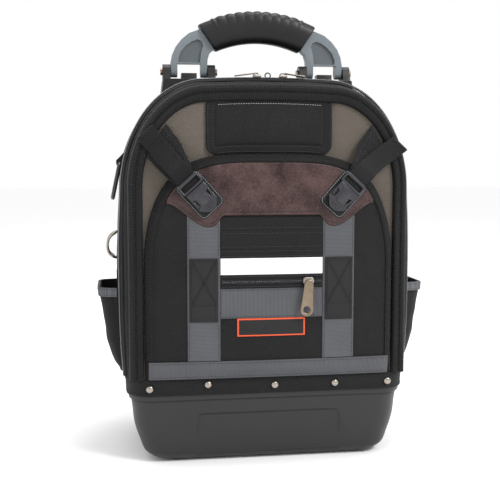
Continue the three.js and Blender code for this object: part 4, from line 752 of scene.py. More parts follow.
def surfaces():
    """Each material by its short name: real name, maker, base colour and the maker's settings."""
    black, arm = colour("black_cloth"), colour("arm")
    return {
        # Basket weave of thick bright threads, 0.7 mm apart in fact and drawn at 1.3 mm to show.
        "cloth": ("Ballistic nylon, black", woven, black, 1.3, 0.5, 0.5, 0.05, 0.62),
        # The same cloth dyed taupe: matt, with a sandy speckle.
        "taupe": ("Ballistic nylon, taupe", woven, colour("taupe_cloth"), 1.3, 0.35, 0.2, 0.04),
        # Fine lines across the tape that catch a thin light.
        "rim": ("Ribbed nylon binding", woven, colour("rim"), 1.1, 0.4, 0.4, 0.05, 0.55, True),
        # A close twill, flatter than the cloth beside it.
        "tape": ("Zip tape", woven, shade(black, 0.9), 0.9, 0.2, 0.3, 0.03, 0.7),
        # Crosswise lines 0.8 mm apart with a dull sheen.
        "webbing": ("Polypropylene webbing, grey", woven, colour("grey_webbing"), 0.8, 0.5, 0.2, 0.06,
                    0.65, True),
        # The same lines in black, glossier along their crests.
        "black_webbing": ("Nylon webbing, black", woven, shade(black, 1.05), 0.8, 0.5, 0.4, 0.05, 0.5,
                          True),
        # Flat and even, with a fine thread.
        "patch": ("Coated polyester", woven, colour("patch"), 1.0, 0.25, 0.25, 0.04, 0.62),
        # Bright and very even, with a faint ribbed face.
        "white": ("Reflective tape", woven, colour("stripe"), 0.8, 0.12, 0.03, 0.0, 0.45, True),
        # Saturated and smooth.
        "label": ("Rubber label, orange", moulded, colour("label"), 0.9, 0.05, 0.45),
        # Mottled red brown with a soft waxed shine.
        "leather": ("Oiled cowhide", leather_hide, colour("leather")),
        # Raw and cut, so lighter and redder.
        "leather_edge": ("Cut cowhide", leather_hide, colour("leather_edge")),
        # Satin with a coarse moulded grain of 1.4 mm, glossier where it is rubbed.
        "tub": ("Polypropylene, grained", moulded, colour("tub"), 1.4, 0.14, 0.44, 0.14, 0.05, 0.42),
        # Dull, with a fine grain.
        "grip": ("Thermoplastic rubber", moulded, colour("grip"), 0.9, 0.1, 0.45, 0.14, 0.0, 0.3),
        # Smooth satin with tiny specks.
        "arm": ("Nylon, silver grey", moulded, arm, 0.7, 0.03, 0.36, 0.08),
        # Where the arm is thinned it lies recessed: darker there as painted shade, and duller.
        "arm_web": ("Nylon, as moulded", moulded, shade(arm, 0.55), 0.8, 0.06, 0.5, 0.08),
        # Black satin.
        "bracket": ("Nylon, black", moulded, colour("bracket"), 0.9, 0.05, 0.38, 0.12, 0.0, 0.35),
        # Smooth and slightly glossy.
        "buckle": ("Acetal, charcoal", moulded, colour("buckle"), 0.6, 0.02, 0.24, 0.08),
        # Bright, with duller spots; its darkened warm base and darker spots are a painted brown reflection
        # of the surroundings.
        "nickel": ("Nickel plate", metal, linear("#a59c93"), 0.25, 0.12),
        # Brown in its hollows and bright on its rubbed faces.
        "brass": ("Antique brass", metal, linear("#8d7f6d"), 0.34, 0.3),
        # A warm grey shine.
        "bolt": ("Copper-washed steel", metal, linear("#a58c7c"), 0.3, 0.15),
        # Polished grey rods, their light grey a painted glint of the coil.
        "coil": ("Nylon zip coil", moulded, linear("#75777a"), 0.6, 0.01, 0.2, 0.1),
        # Matt black with round holes, painted dark inside as shade.
        "mesh": ("Spacer mesh", air_mesh, black),
        # A slight shine along each stitch.
        "thread_black": ("Bonded thread, black", moulded, linear("#151517"), 0.4, 0.03, 0.4, 0.1, 0.0,
                         0.3),
        "thread_grey": ("Bonded thread, light grey", moulded, linear("#8b8d91"), 0.4, 0.03, 0.45),
        "thread_dark": ("Bonded thread, grey", moulded, linear("#2e2e31"), 0.4, 0.03, 0.45, 0.1, 0.0, 0.3),
    }


def material(key):
    """A material by its short name, made when it is first asked for."""
    name, maker, *settings = surfaces()[key]
    return bpy.data.materials.get(name) or maker(name, *settings)


class Maker:
    """What every operator here does: it reads the sizes and makes its pieces."""

    def execute(self, context):
        self.make(measures())
        return {"FINISHED"}


class TubMaker(Maker, bpy.types.Operator):
    """Moulded tub: rounded rectangles stacked by a table, with the front panel sunk by a soft-edged mask"""
    bl_idname = "backpack.tub"
    bl_label = "Tub"

    def make(self, m):
        half_x, half_y = m.body_width / 2 + 1, face_of(m)
        width = [(0, .76), (.04, .82), (.15, .89), (.3, .92), (.56, .96), (.92, .983), (.95, .998), (1, 1),
                 (1.3, 1)]
        depth = [(0, .8), (.04, .87), (.15, .93), (.3, .95), (.56, .97), (.92, .984), (.95, .998), (1, 1),
                 (1.3, 1)]
        corner = [(0, .55), (.04, .7), (.15, .85), (.3, .95), (.56, 1), (1.3, 1)]
        panel_half, panel_middle, panel_rise, panel_corner = 88, 34.25, 26.25, 7
        near = np.linspace(-6, 6, 13)
        front = np.concatenate([np.linspace(-1, -.6, 10) * half_x, near - panel_half,
                                np.linspace(-80, 80, 40),
                                near + panel_half, np.linspace(.6, 1, 10) * half_x]) / half_x
        levels = np.concatenate([[0, .4, 1, 2], np.linspace(3.4, 15, 14), np.linspace(17, 52, 16),
                                 np.linspace(53, 64, 14), np.linspace(67, 77, 5),
                                 np.linspace(77.6, 80.4, 6),
                                 [82, 84, 90, 98, 105, 105.7, 106]])

        def ring(z, wall):
            """One level: half of the outline from the front left round to the back right, and its twin."""
            share = z / m.tub_lip
            a = half_x * smooth(share, width) - wall
            b = half_y * smooth(share, depth) - wall
            r = m.tub_corner * smooth(share, corner) - wall
            arc = np.linspace(0, pi / 2, 15)[1:-1]
            out, deep = a - r, b - r
            flat = np.clip(front * (a + wall), -out, out)
            half_line_x = np.concatenate([flat, out + r * np.sin(arc), np.full(12, a),
                                          out + r * np.cos(arc)])
            half_line_y = np.concatenate([np.full(len(flat), -b), -deep - r * np.cos(arc),
                                          np.linspace(-1, 1, 12) * deep, deep + r * np.sin(arc)])
            x = np.concatenate([half_line_x, -half_line_x])
            y = np.concatenate([half_line_y, -half_line_y])
            if wall == 0:
                across = np.maximum(np.abs(x) - panel_half + panel_corner, 0)
                tall = np.maximum(abs(z - panel_middle) - panel_rise + panel_corner, 0)
                reach = panel_corner - np.hypot(across, tall)
                in_front = y < -b + 0.01
                y = y + in_front * (1.3 * step(-0.7, 0.9, reach) + 0.9 * np.exp(-(reach / 1.1) ** 2))
                groove = 0.5 * step(79.4, 78.2, z) * step(76.5, 77.6, z)
                x, y = x * (1 - groove / a), y * (1 - groove / b)
            return np.stack([x, y, np.full(len(x), z)], -1)
        outer = [ring(z, 0.0) for z in levels]
        lip = [ring(106, 1.0), ring(105.8, 2.2), ring(105, 3.0)]
        inner = [ring(z, 3.0) for z in np.linspace(96, 8, 12)] + [ring(5, 4.5), ring(4, 8)]
        piece("moulded_tub", tube_parts(np.stack(outer + lip + inner)), "tub", ["base_tub"])


def tub_rings(m, profile, arcs=14):
    """A profile of (offset, height) carried round the tub's rounded outline."""
    half_x, half_y = m.body_width / 2 + 1, face_of(m)
    outline = rounded_rect(half_x, half_y, m.tub_corner, arcs)
    long = []
    for a, b in zip(outline, np.roll(outline, -1, axis=0)):
        count = max(1, int(np.hypot(*(b - a)) / 8))
        long.append(a + (b - a) * (np.arange(count) / count)[:, None])
    line = np.concatenate(long)
    core = np.clip(line, [-(half_x - m.tub_corner), -(half_y - m.tub_corner)],
                   [half_x - m.tub_corner, half_y - m.tub_corner])
    way = unit(line - core)
    offset, height = np.asarray(profile, float).T
    flat = line[:, None] + way[:, None] * offset[None, :, None]
    return np.concatenate([flat, np.broadcast_to(height[None, :, None], flat.shape[:2] + (1,))],
                          -1), line, way


class SkirtMaker(Maker, bpy.types.Operator):
    """Riveted band: a soft-cornered section carried round the tub, with domed rivets and two seams"""
    bl_idname = "backpack.skirt"
    bl_label = "Skirt and rivets"

    def make(self, m):
        foot, top = m.tub_lip + 1, m.tub_lip + 22
        section = softened([(.4, foot), (2.0, foot), (2.4, foot + 1), (2.35, foot + 10), (3.7, top - 2.2),
                            (3.8, top), (2.6, top), (.4, top)], 2)
        rings, line, way = tub_rings(m, section)
        along = walked(closed_line(line))[:-1]
        around = walked(section)
        uv = crossed(along, around)
        piece("skirt_band", tube_parts(rings, True, uv), "cloth", ["skirt"])
        sets = []
        for height, offset in ((foot + 2.6, 2.42), (top - 3.2, 3.5)):
            path = np.concatenate([line + way * offset, np.full((len(line), 1), height)], -1)
            path = closed_line(path)
            normal = np.concatenate([way, np.zeros((len(way), 1))], -1)
            sets.append(seam(path, np.concatenate([normal, normal[:1]]), m))
        piece("skirt_seams", together(sets), "thread_black")
        places = [(-.854, .5), (-.444, .66), (.035, .52), (.474, .52), (.865, .52)]
        angle = full_turn(28)
        for i, (across, up) in enumerate(places):
            seat = 2.8 + 1.5 * up + 3.1
            profile = np.array([(.2, 0), (1.5, 0), (1.5, seat), (4.1, seat), (4.4, seat + .3),
                                (4.3, seat + .7),
                                (3.7, seat + 1.4), (2.7, seat + 2), (1.4, seat + 2.35), (.2, seat + 2.4)])
            x, z = (m.body_width / 2 + 1) * across, m.tub_lip + 22 * up
            radius, out = profile.T
            rings = np.stack([x + radius[:, None] * np.cos(angle),
                              np.broadcast_to(3 - face_of(m) - out[:, None], (len(out), 28)),
                              z + radius[:, None] * np.sin(angle)], -1)
            piece("domed_rivet_%d" % (i + 1), tube_parts(rings), "nickel",
                  ["rivet_%d" % (i + 1)])


class BodyMaker(Maker, bpy.types.Operator):
    """Side wall and front panel: the arch swept through the depth by the swell tables, and filled"""
    bl_idname = "backpack.body"
    bl_label = "Body"

    def make(self, m):
        stations = arch(m)
        base, way = stations
        deep = m.body_depth / 2 * 0.99
        y = -deep + edged(deep * 2, 64, 1.4)
        along = walked(base)
        loose = step(1, 0, np.abs(np.abs(y) - 78) / 14)[:, None] + step(.8, 1, np.abs(y) / deep)[:, None]
        folds = (1 - np.clip(loose, 0, 1)) * 1.1 * rumple(along[None, :] + 0 * y[:, None],
                                                          y[:, None] * 1.3, 90, 1)
        low = step(0, 26, base[:, 1] - m.body_foot)[None]
        outer = skin(m, y, folds * low, stations)
        inner = skin(m, y, -m.wall, stations)
        uv = crossed(y, along)
        piece("side_wall", slab_parts(outer, inner, uv), "cloth", ["body_gusset"])
        inset = m.wall * 2 + GAP + m.side_bulge * 0.02
        middle = (len(base) - 1) // 2
        line = (base - way * inset * np.array([1, 1.15]))[:middle + 1]
        line[-1, 0] = 0.01
        share = np.linspace(-1, 1, 90)
        x = line[:, :1] * share
        z = np.broadcast_to(line[:, 1:], x.shape)
        edge = np.clip((line[:, :1] - np.abs(x)) / 26, 0, 1) * np.clip((m.body_top - z) / 40, 0, 1)
        puff = 0.9 * edge * (1.4 + 0.9 * rumple(x, z, 55, 4)) * step(360, 395, z + np.abs(x) * 0.35)
        front = np.stack([x, -face_of(m) - np.maximum(puff, 0) * (np.abs(x) >= 80), z], -1)
        back = np.stack([x, np.full(x.shape, 3 - face_of(m)), z], -1)
        piece("taupe_panel", slab_parts(front, back, np.stack([x, z], -1)), "taupe",
              ["front_panel"])


# The binding's section: how far inside the outline, and how far off the face.
RIM_SECTION = [(2.7, -8), (0, -8), (0, -2), (.1, .4), (1.6, 3.6), (3.0, 4.9), (5.2, 5.5), (7.4, 5.2),
               (8.7, 3.5),
               (9.9, 5.3), (12.6, 5.6), (15.4, 5.4), (17.4, 3.6), (18, 1), (18, 0), (2.7, 0)]


class RimMaker(Maker, bpy.types.Operator):
    """Bindings round both faces: a two-ribbed section carried along the arch, with three seams"""
    bl_idname = "backpack.rims"
    bl_label = "Rims"

    def make(self, m):
        base, way = arch(m)
        along = walked(base)
        section = softened(RIM_SECTION, 2)
        around = walked(section)
        plane = face_of(m) + GAP

        def line(inset, rise, side):
            flat = base - way * inset * np.array([1, 1.15])
            return np.stack([flat[:, 0], np.full(len(flat), side * (plane + rise * m.rim_height / 5.5)),
                             flat[:, 1]], -1)
        for side, name in ((-1, "front"), (1, "rear")):
            rings = np.stack([line(inset * m.rim_width / 18, rise, side) for inset, rise in section], 1)
            uv = crossed(along, around)[..., ::-1]
            piece(name + "_binding", tube_parts(rings, uv=uv), "rim", [name + "_rim"])
            out = (0, side, 0)
            black = [seam(line(inset, rise + .05, side), out, m)
                     for inset, rise in ((4.2, 5.15), (8.7, 4.15), (15.2, 5.35))]
            piece(name + "_binding_seams", together(black), "thread_black")


class LongZipMaker(Maker, bpy.types.Operator):
    """Two long zips over the side wall: a flat tape, its two rows of coil, and two sliders with a ring"""
    bl_idname = "backpack.long_zips"
    bl_label = "Long zips"

    def make(self, m):
        stations = arch(m)
        base, way = stations
        middle = 0.745 * m.body_depth / 2
        offsets = -9.6 + edged(19.2, 14, 1.0)
        out = np.stack([way[:, 0], np.zeros(len(way)), way[:, 1]], -1)
        for side, name in ((-1, "front"), (1, "rear")):
            seat = 0.81
            wide = np.abs(offsets)
            rise = seat + 0.25 + 0.75 * roll(9.6 - wide, 1.0) + 0.5 * step(5.2, 2.8, wide)
            y = side * middle + offsets
            outer = skin(m, y, rise[:, None], stations)
            inner = skin(m, y, seat, stations)
            uv = crossed(offsets, walked(base))
            piece(name + "_zip_tape", slab_parts(outer, inner, uv), "tape", [name + "_zip"])
            path = skin(m, side * middle, seat + 1.9, stations)[0]
            coil = teeth(path, (0, 1, 0), out, 2.1, 2.7, 0.72, 0.5)
            piece(name + "_zip_coil", coil, "coil")
            edges = [seam(skin(m, side * middle + off, seat + 1.1, stations)[0], out, m)
                     for off in (-7.2, 7.2)]
            piece(name + "_zip_seams", together(edges), "thread_black")
        for name, x, away in (("left", -12, -1), ("right", 20, 1)):
            seat = m.body_top + float(swell(m, -middle, m.body_top)) + 0.81 + 1 + 1.2 + GAP
            shield = [(-5.2, -2.2), (-3.6, -4), (3.6, -4), (5.2, -2.2), (5.2, 2.2), (3.6, 4), (-3.6, 4),
                      (-5.2, 2.2)]
            axes = [(1, 0, 0), (0, 1, 0), (0, 0, 1)]
            body = moved(plate(softened(shield, 2), 2.4, 0.6), axes, (x, -middle, seat))
            hoop = np.array([(-3.6, 0, 2), (-3.4, 0, 3.6), (-1.8, 0, 4.7), (1.8, 0, 4.7), (3.4, 0, 3.6),
                             (3.6, 0, 2)])
            bridge = wire(resampled(hoop, 14) + np.array([x, -middle, seat]), 0.9, 8)
            piece(name + "_zip_slider", together([body, bridge]), "nickel",
                  ["top_zip_slider_" + name])
            dip = radians(8)
            tilted = [(cos(dip), 0, -away * sin(dip)), (0, 1, 0), (away * sin(dip), 0, cos(dip))]
            piece(name + "_zip_tab", moved(plate(rounded_rect(13, 3.3, 2.6, 6), 1.5, 0.5), tilted,
                                           (x + away * 14.5, -middle - 1, seat + 2.4)), "nickel")
        angle = full_turn(32)
        ring = np.stack([1.2 + 3.3 * np.cos(angle), np.full(32, -middle - 0.5),
                         470.4 + 3.1 * np.sin(angle)], -1)
        piece("small_zip_ring", wire(ring, 0.75, 8, closed=True, up=(0, 1, 0.02)), "bracket")


class PocketMaker(Maker, bpy.types.Operator):
    """Front pocket: columns across, rows from the foot to the arch, each point lifted by pocket_face"""
    bl_idname = "backpack.pocket"
    bl_label = "Front pocket"

    def make(self, m):
        bow = np.sin(np.linspace(-1, 1, 171) * pi / 2)
        t = np.linspace(-1, 1, 171)
        share = bow * 0.55 + t * 0.45
        rows = np.linspace(0, 1, 110)
        rows = 0.62 * rows + 0.38 * np.sin(rows * pi / 2)

        def sheet(inset, foot):
            x = share[None, :] * (m.pocket_half - inset) + 0 * rows[:, None]
            z = foot + rows[:, None] * (pocket_crest(m, x, inset) - foot)
            return x, z
        x, z = sheet(0.0, m.body_foot)
        outer = np.stack([x, pocket_face(m, x, z), z], -1)
        xi, zi = sheet(2.0, m.body_foot + 2)
        inner = np.stack([xi, np.minimum(-face_of(m) - GAP, pocket_face(m, xi, zi) + 2), zi], -1)
        piece("pocket_shell", slab_parts(outer, inner, np.stack([x, z], -1)), "cloth",
              ["front_pocket"])
        section = softened([(.3, 0), (4, 0), (9.7, 0), (9.9, 1.0), (8.4, 1.6), (5.5, 1.3), (2.6, 2.0),
                            (-.4, 1.8)], 2)
        lines, around = [], walked(section)
        for inset, lift in section:
            flat = pocket_line(m, inset * m.binding_width / 10, 130)
            y = pocket_face(m, flat[:, 0], flat[:, 1], np.full(len(flat), max(0, inset))) - GAP - lift
            lines.append(np.stack([flat[:, 0], y, flat[:, 1]], -1))
        rings = np.stack(lines, 1)
        along = walked(lines[0])
        uv = crossed(along, around)[..., ::-1]
        piece("pocket_binding", tube_parts(rings, uv=uv), "rim", ["arch_binding"])
        sets = []
        for inset, lift in ((7.3, 1.75), (2.2, 2.25)):
            flat = pocket_line(m, inset, 131)
            y = pocket_face(m, flat[:, 0], flat[:, 1], np.full(len(flat), inset)) - GAP - lift
            sets.append(seam(np.stack([flat[:, 0], y, flat[:, 1]], -1), FRONT, m))
        piece("pocket_binding_seams", together(sets), "thread_black")


class LeatherMaker(Maker, bpy.types.Operator):
    """Leather yoke: a sheet between the lobed lower edge and the arch, with its cut edge lighter"""
    bl_idname = "backpack.leather"
    bl_label = "Leather"

    def make(self, m):
        left, right, thick, edge = -LEATHER_HALF, LEATHER_HALF, 1.6, 1.1
        xs = left + edged(right - left, 150, edge)
        low = leather_bottom(xs)
        high = np.maximum(pocket_crest(m, xs, m.binding_width) - GAP, low + 1.5)
        v = edged(60, 44, edge) / 60
        z = low[None] + v[:, None] * (high - low)[None]
        x = np.broadcast_to(xs[None], z.shape)
        reach = np.minimum.reduce([x - left, right - x, z - low, high - z])
        full = step(2, 12, reach) * (0.35 + 0.35 * rumple(x, z, 70, 7))
        rise = thick * (0.25 + 0.75 * roll(reach, edge)) + np.maximum(full, -0.2)
        base = pocket_face(m, x, z) - GAP
        outer, inner = np.stack([x, base - rise, z], -1), np.stack([x, base, z], -1)

        def cut_edge(points, faces):
            kinds = [np.zeros(len(faces[0])), np.zeros(len(faces[1])), np.ones(len(faces[2]))]
            columns = len(xs) - 1
            number = np.arange(len(faces[0]))
            row, column = number // columns, number % columns
            kinds[0][(row < 1) | (column < 1) | (column > columns - 2)] = 1
            return np.concatenate(kinds)
        piece("leather_sheet", slab_parts(outer, inner, np.stack([x, z], -1)),
              ["leather", "leather_edge"], ["leather_yoke"], choose=cut_edge)
        line_x = np.linspace(-120.5, 120.5, 180)
        path = on_pocket(m, line_x, leather_bottom(line_x) + 4.2, GAP + thick + 0.25)
        piece("leather_seam", seam(path, FRONT, m, 3.8), "thread_black")


class WebbingMaker(Maker, bpy.types.Operator):
    """Upright webbings and their patches: strips on the pocket, edge seams and a crossed box"""
    bl_idname = "backpack.webbings"
    bl_label = "Webbings and patches"

    def make(self, m):
        low, high = GREY_BAND + m.body_foot + 0.6, 1.2
        for name, sign in (("left", -1), ("right", 1)):
            a, b = sorted((sign * WEBBING[0], sign * WEBBING[1]))
            piece("upright_webbing_" + name, strip(m, a, b, low, lambda x: leather_bottom(x) - GAP, GAP,
                                                   high, 16, 90),
                  "webbing", ["webbing_" + name])
            c, d = sorted((sign * (WEBBING[0] + 2.6), sign * (WEBBING[1] - 2.1)))
            left, right, foot, top, shelf = c + 2.6, d - 2.6, 179.6, 250.2, 197.0

            def sewn(x, z):
                """Soft folds, and a valley along both diagonals of the stitched box."""
                u, v = (x - left) / (right - left), (z - shelf) / (top - shelf)
                away = np.minimum(np.abs(u - v), np.abs(u + v - 1)) / np.hypot(1 / (right - left),
                                                                               1 / (top - shelf))
                return 0.25 * rumple(x, z, 40, 9) - 0.55 * np.exp(-(away / 1.3) ** 2) * (z > shelf)
            piece("sewn_patch_" + name, strip(m, c, d, 176.9, 252.9, GAP * 2 + 1.2, 1.2, 36, 66,
                                              extra=sewn),
                  "patch", ["patch_" + name])
            sets = []
            for x in (a + 2.2, b - 2.2):
                for z0, z1 in ((low + 2, 174.5), (255, float(leather_bottom(np.array(x))) - 2)):
                    sets.append(seam(on_pocket(m, x, np.linspace(z0, z1, 30), GAP + 1.25), FRONT, m))
            piece("webbing_seams_" + name, together(sets), "thread_dark")
            lift = GAP * 2 + 2.45 + 0.1
            lines = [((left, foot), (left, top)), ((left, top), (right, top)),
                     ((right, top), (right, foot)), ((right, foot), (left, foot))]
            lines += [((left, shelf), (right, shelf)), ((left, shelf), (right, top)),
                      ((left, top), (right, shelf))]
            sets = [seam(on_pocket(m, np.linspace(p[0], q[0], 24), np.linspace(p[1], q[1], 24), lift),
                         FRONT, m)
                    for p, q in lines]
            piece("patch_stitches_" + name, together(sets), "thread_black")


class BandMaker(Maker, bpy.types.Operator):
    """Level bands between the webbings: strips of cloth, tape and webbing, a blank label and their seams"""
    bl_idname = "backpack.bands"
    bl_label = "Bands and label"

    def make(self, m):
        half = WEBBING[0] - GAP
        flat = 1.2

        def folded(x, z):
            """The middle of the upper band lies double."""
            return 0.9 * step(262.6, 264.2, z) * step(285.6, 284, z)

        def upper(x):
            return np.minimum(LEATHER_EDGE - 2.3, leather_bottom(x) - GAP)

        def ditch(x, z):
            """Two raised lips and the low bed of the coil between them."""
            return 0.55 - 0.75 * step(5.4, 3.6, np.abs(z - ZIP_LINE))

        def from_edge(x, z):
            """How far inside the label's outline."""
            left, right, foot, top = LABEL
            return np.minimum.reduce([x - left, right - x, z - foot, top - z])

        def field(x, z):
            return -0.3 * step(1.7, 2.2, from_edge(x, z))

        def bordered(points, faces):
            """The border keeps the first surface, and what lies more than 1.9 mm inside takes the second."""
            centres = [points[group].mean(1) for group in faces]
            return np.concatenate([(from_edge(c[:, 0], c[:, 2]) > 1.9).astype(int) for c in centres])
        piece("upper_cloth_band", strip(m, -half, half, 252.9, upper, GAP, flat, 60, 60, extra=folded),
              "cloth", ["upper_band"])
        piece("white_tape_band", strip(m, -half, half, 232.8, 252.6, GAP, flat, 50, 20, turn=True),
              "white", ["white_stripe"])
        piece("pocket_zip_tape", strip(m, -half, half, 216.7, 232.5, GAP, flat, 50, 34, extra=ditch,
                                       turn=True),
              "tape", ["pocket_zip"])
        line = on_pocket(m, np.linspace(-half + 1, half - 1, 80), ZIP_LINE, GAP + 1.75)
        piece("pocket_zip_coil", teeth(line, (0, 0, 1), FRONT, 2.0, 2.6, 0.68, 0.45), "buckle")
        piece("web_band", strip(m, -half, half, 180.6, 216.4, GAP, flat, 50, 34, turn=True),
              "webbing", ["web_panel"])

        piece("blank_label", strip(m, *LABEL, GAP, 1.2, 100, 60, extra=field, turn=True),
              ["label", "patch"], ["label_patch"], choose=bordered)
        piece("foot_webbing", strip(m, -147, 147, m.body_foot + GAP, m.body_foot + GREY_BAND, 0.66, flat,
                                    120, 22, turn=True),
              "webbing", ["grey_band"])
        sets = []
        ends = np.linspace(-half + 1.5, half - 1.5, 60)
        rows = [(255.0, 1.25), (261.0, 1.25), (266.2, 2.15), (282.2, 2.15), (288.4, 1.25), (230.6, 1.85),
                (218.6, 1.85)]
        for z, lift in rows:
            sets.append(seam(on_pocket(m, ends, z, GAP + lift), FRONT, m))
        # Grey thread rather than black: its lighter lines beside the upper band's folds stand in for the
        # light that the folded edges catch, a painted highlight.
        piece("band_seams", together(sets), "thread_dark")
        grey = [seam(on_pocket(m, ends, z, GAP + 1.25), FRONT, m) for z in (182.6, 214.4)]
        wide = np.linspace(-145, 145, 150)
        grey += [seam(on_pocket(m, wide, z, 0.66 + 1.25), FRONT, m) for z in (109.4, 126.6)]
        piece("webbing_band_seams", together(grey), "thread_dark")


class PocketPullMaker(Maker, bpy.types.Operator):
    """Pocket slider and its pull: a shield-shaped body with a bridge, and a pear-shaped plate with a hole"""
    bl_idname = "backpack.pocket_pull"
    bl_label = "Pocket slider and pull"

    def make(self, m):
        x, z = 44.0, ZIP_LINE
        seat = float(pocket_face(m, np.array(x), np.array(z))) - GAP - 1.92 - GAP
        shield = [(-6.5, -2.6), (-4.4, -4.5), (5, -4.5), (6.5, -2.4), (6.5, 2.4), (5, 4.5), (-4.4, 4.5),
                  (-6.5, 2.6)]
        axes = [(1, 0, 0), (0, 0, 1), FRONT]
        body = moved(plate(softened(shield, 2), 2.2, 0.7), axes, (x, seat, z))
        hoop = np.array([(-4, -1.6, 0), (-3.6, -3.4, 0), (-2, -4.4, 0), (2, -4.4, 0), (3.6, -3.4, 0),
                         (4, -1.6, 0)])
        bridge = wire(resampled(hoop, 18) + np.array([x, seat, z]), 0.95, 10, up=(0, 0, 1))
        piece("pocket_slider", together([body, bridge]), "nickel", ["pocket_zip_slider"])
        face = seat - 4.5 - GAP
        half, foot, top = 7.75, 182.6, 226.1
        middle = foot + half
        head = top - middle
        turn = np.linspace(pi, 2 * pi, 60)
        bow = np.stack([half * np.cos(turn), half * np.sin(turn)], -1)
        shape = np.concatenate([[(3 - 5.1, head), (-half, 0)], bow,
                                [(half, 0), (3 + 5.1, head), (3 - 5.1, head)]])
        shape = resampled(shape, 600)
        bearing = np.arctan2(shape[:, 0], shape[:, 1])
        order = np.argsort(bearing)
        angle = np.linspace(-pi, pi, 72, endpoint=False)
        ray = np.stack([np.sin(angle), np.cos(angle)], -1)
        reach = np.interp(angle, bearing[order], np.hypot(*shape.T)[order], period=2 * pi)
        outline = ray * reach[:, None]
        hole = ray * 0.28 * 15.5
        rings = []
        near = 1.6 / np.maximum(np.linalg.norm(outline - hole, axis=1, keepdims=True), 1.7)
        for share, level in ((0, .5), (.15, .12), (.35, 0), (.5, 0), (.65, 0), (.85, .12), (1, .5),
                             (1, 1.7), (.85, 2.08),
                             (.65, 2.2), (.5, 2.2), (.35, 2.2), (.15, 2.08), (0, 1.7)):
            where = share if share in (0, 1) else np.where(share < 0.5, share * near * 2,
                                                           1 - (1 - share) * near * 2)
            flat = hole * (1 - where) + outline * where
            rings.append(np.concatenate([flat, np.full((72, 1), level)], -1))
        part = tube_parts(np.stack(rings, 1), closed=True)
        piece("pocket_pull", moved(part, axes, (x - 3, face, middle)), "brass",
              ["pocket_zip_pull"])
        angle = full_turn(24)
        link = np.stack([x + 0 * angle, face + 0.9 + 2.6 * np.cos(angle) * 0.7,
                         z - 2.2 + 3.2 * np.sin(angle)], -1)
        piece("pull_link", wire(link, 0.7, 8, closed=True, up=(1, 0, 0)), "brass")


class FlapMaker(Maker, bpy.types.Operator):
    """Top flap: a full sheet between the pocket's arch and the rim, bound round its sides and foot"""
    bl_idname = "backpack.flap"
    bl_label = "Top flap"

    def make(self, m):
        left, right, thick, edge = -77.0, 75.0, 3.2, 1.6
        corner, tape = 14.0, 10.0

        def foot(x):
            """The lower edge with square corners: level, or just over the pocket's arch."""
            return np.maximum(372, pocket_crest(m, x, 0) + 0.78)

        def inside(x, z):
            """How far in from the left, the foot or the right, with quarter circles at the lower corners."""
            across = np.maximum(corner - np.minimum(x - left, right - x), 0)
            return corner - np.hypot(across, np.maximum(corner - (z - foot(x)), 0))

        def raised(x, z):
            """A bound edge, then a groove, then a face that is full in its middle."""
            high = m.body_top - 21.3 - 2.4 * (x / 75) ** 2
            inset = inside(x, z)
            v = np.clip((z - foot(x)) / (high - foot(x)), 0, 1)
            u = (x - left) / (right - left)
            puff = 3.4 * np.sin(pi * v) ** 0.7 * (1 - (2 * u - 1) ** 4) * step(tape - 2, corner, inset)
            folds = step(tape, corner, np.minimum(inset, high - z)) * 0.55 * rumple(x, z, 46, 3)
            groove = 0.7 * np.exp(-((inset - tape) / 1.1) ** 2)
            return (thick * (0.3 + 0.7 * roll(np.minimum(inset, high - z), edge)) + puff + folds - groove
                    + 0.5 * step(tape - 0.4, tape - 1.6, inset))
        xs = left + edged(right - left, 100, edge)
        across = np.maximum(corner - np.minimum(xs - left, right - xs), 0)
        low = foot(xs) + corner - np.sqrt(np.maximum(corner ** 2 - across ** 2, 0))
        high = m.body_top - 21.3 - 2.4 * (xs / 75) ** 2
        v = edged(60, 56, edge) / 60
        z = low[None] + v[:, None] * (high - low)[None]
        x = np.broadcast_to(xs[None], z.shape)
        rise = raised(x, z)
        y = -face_of(m) - GAP
        outer, inner = np.stack([x, y - rise, z], -1), np.stack([x, np.full(x.shape, y), z], -1)
        piece("padded_flap", slab_parts(outer, inner, np.stack([x, z], -1)), "cloth",
              ["top_flap"])
        sets = []
        turn = np.linspace(0, pi / 2, 12)
        for inset in (2.0, 8.2):
            bend = corner - inset
            middle = np.linspace(left + corner, right - corner, 60)
            line_x = np.concatenate([[left + inset] * 20, left + corner - bend * np.cos(turn), middle,
                                     right - corner + bend * np.sin(turn), [right - inset] * 20])
            rows = np.linspace(high.min() - 2, 372 + corner, 20)
            line_z = np.concatenate([rows, 372 + corner - bend * np.sin(turn), foot(middle) + inset,
                                     372 + corner - bend * np.cos(turn), rows[::-1]])
            path = np.stack([line_x, y - raised(line_x, line_z) - 0.1, line_z], -1)
            sets.append(seam(resampled(path, 300), FRONT, m))
        piece("flap_seams", together(sets), "thread_dark")
        # Stitches along the flap's head in light grey thread: their light grey stands in for the highlight
        # along the top edge, a painted highlight.
        top = outer[-6, 12:-12] + np.array([0, -0.15, 0])
        piece("flap_head_seam", seam(top, FRONT, m, 3.0), "thread_grey")


def buckle_axes(sign):
    """Axes of a buckle, 48 degrees up from the level: along it towards the shoulder, and across it."""
    along = np.array([sign * 0.669, 0, 0.743])
    across = np.array([-sign * 0.743, 0, 0.669])
    return along, across


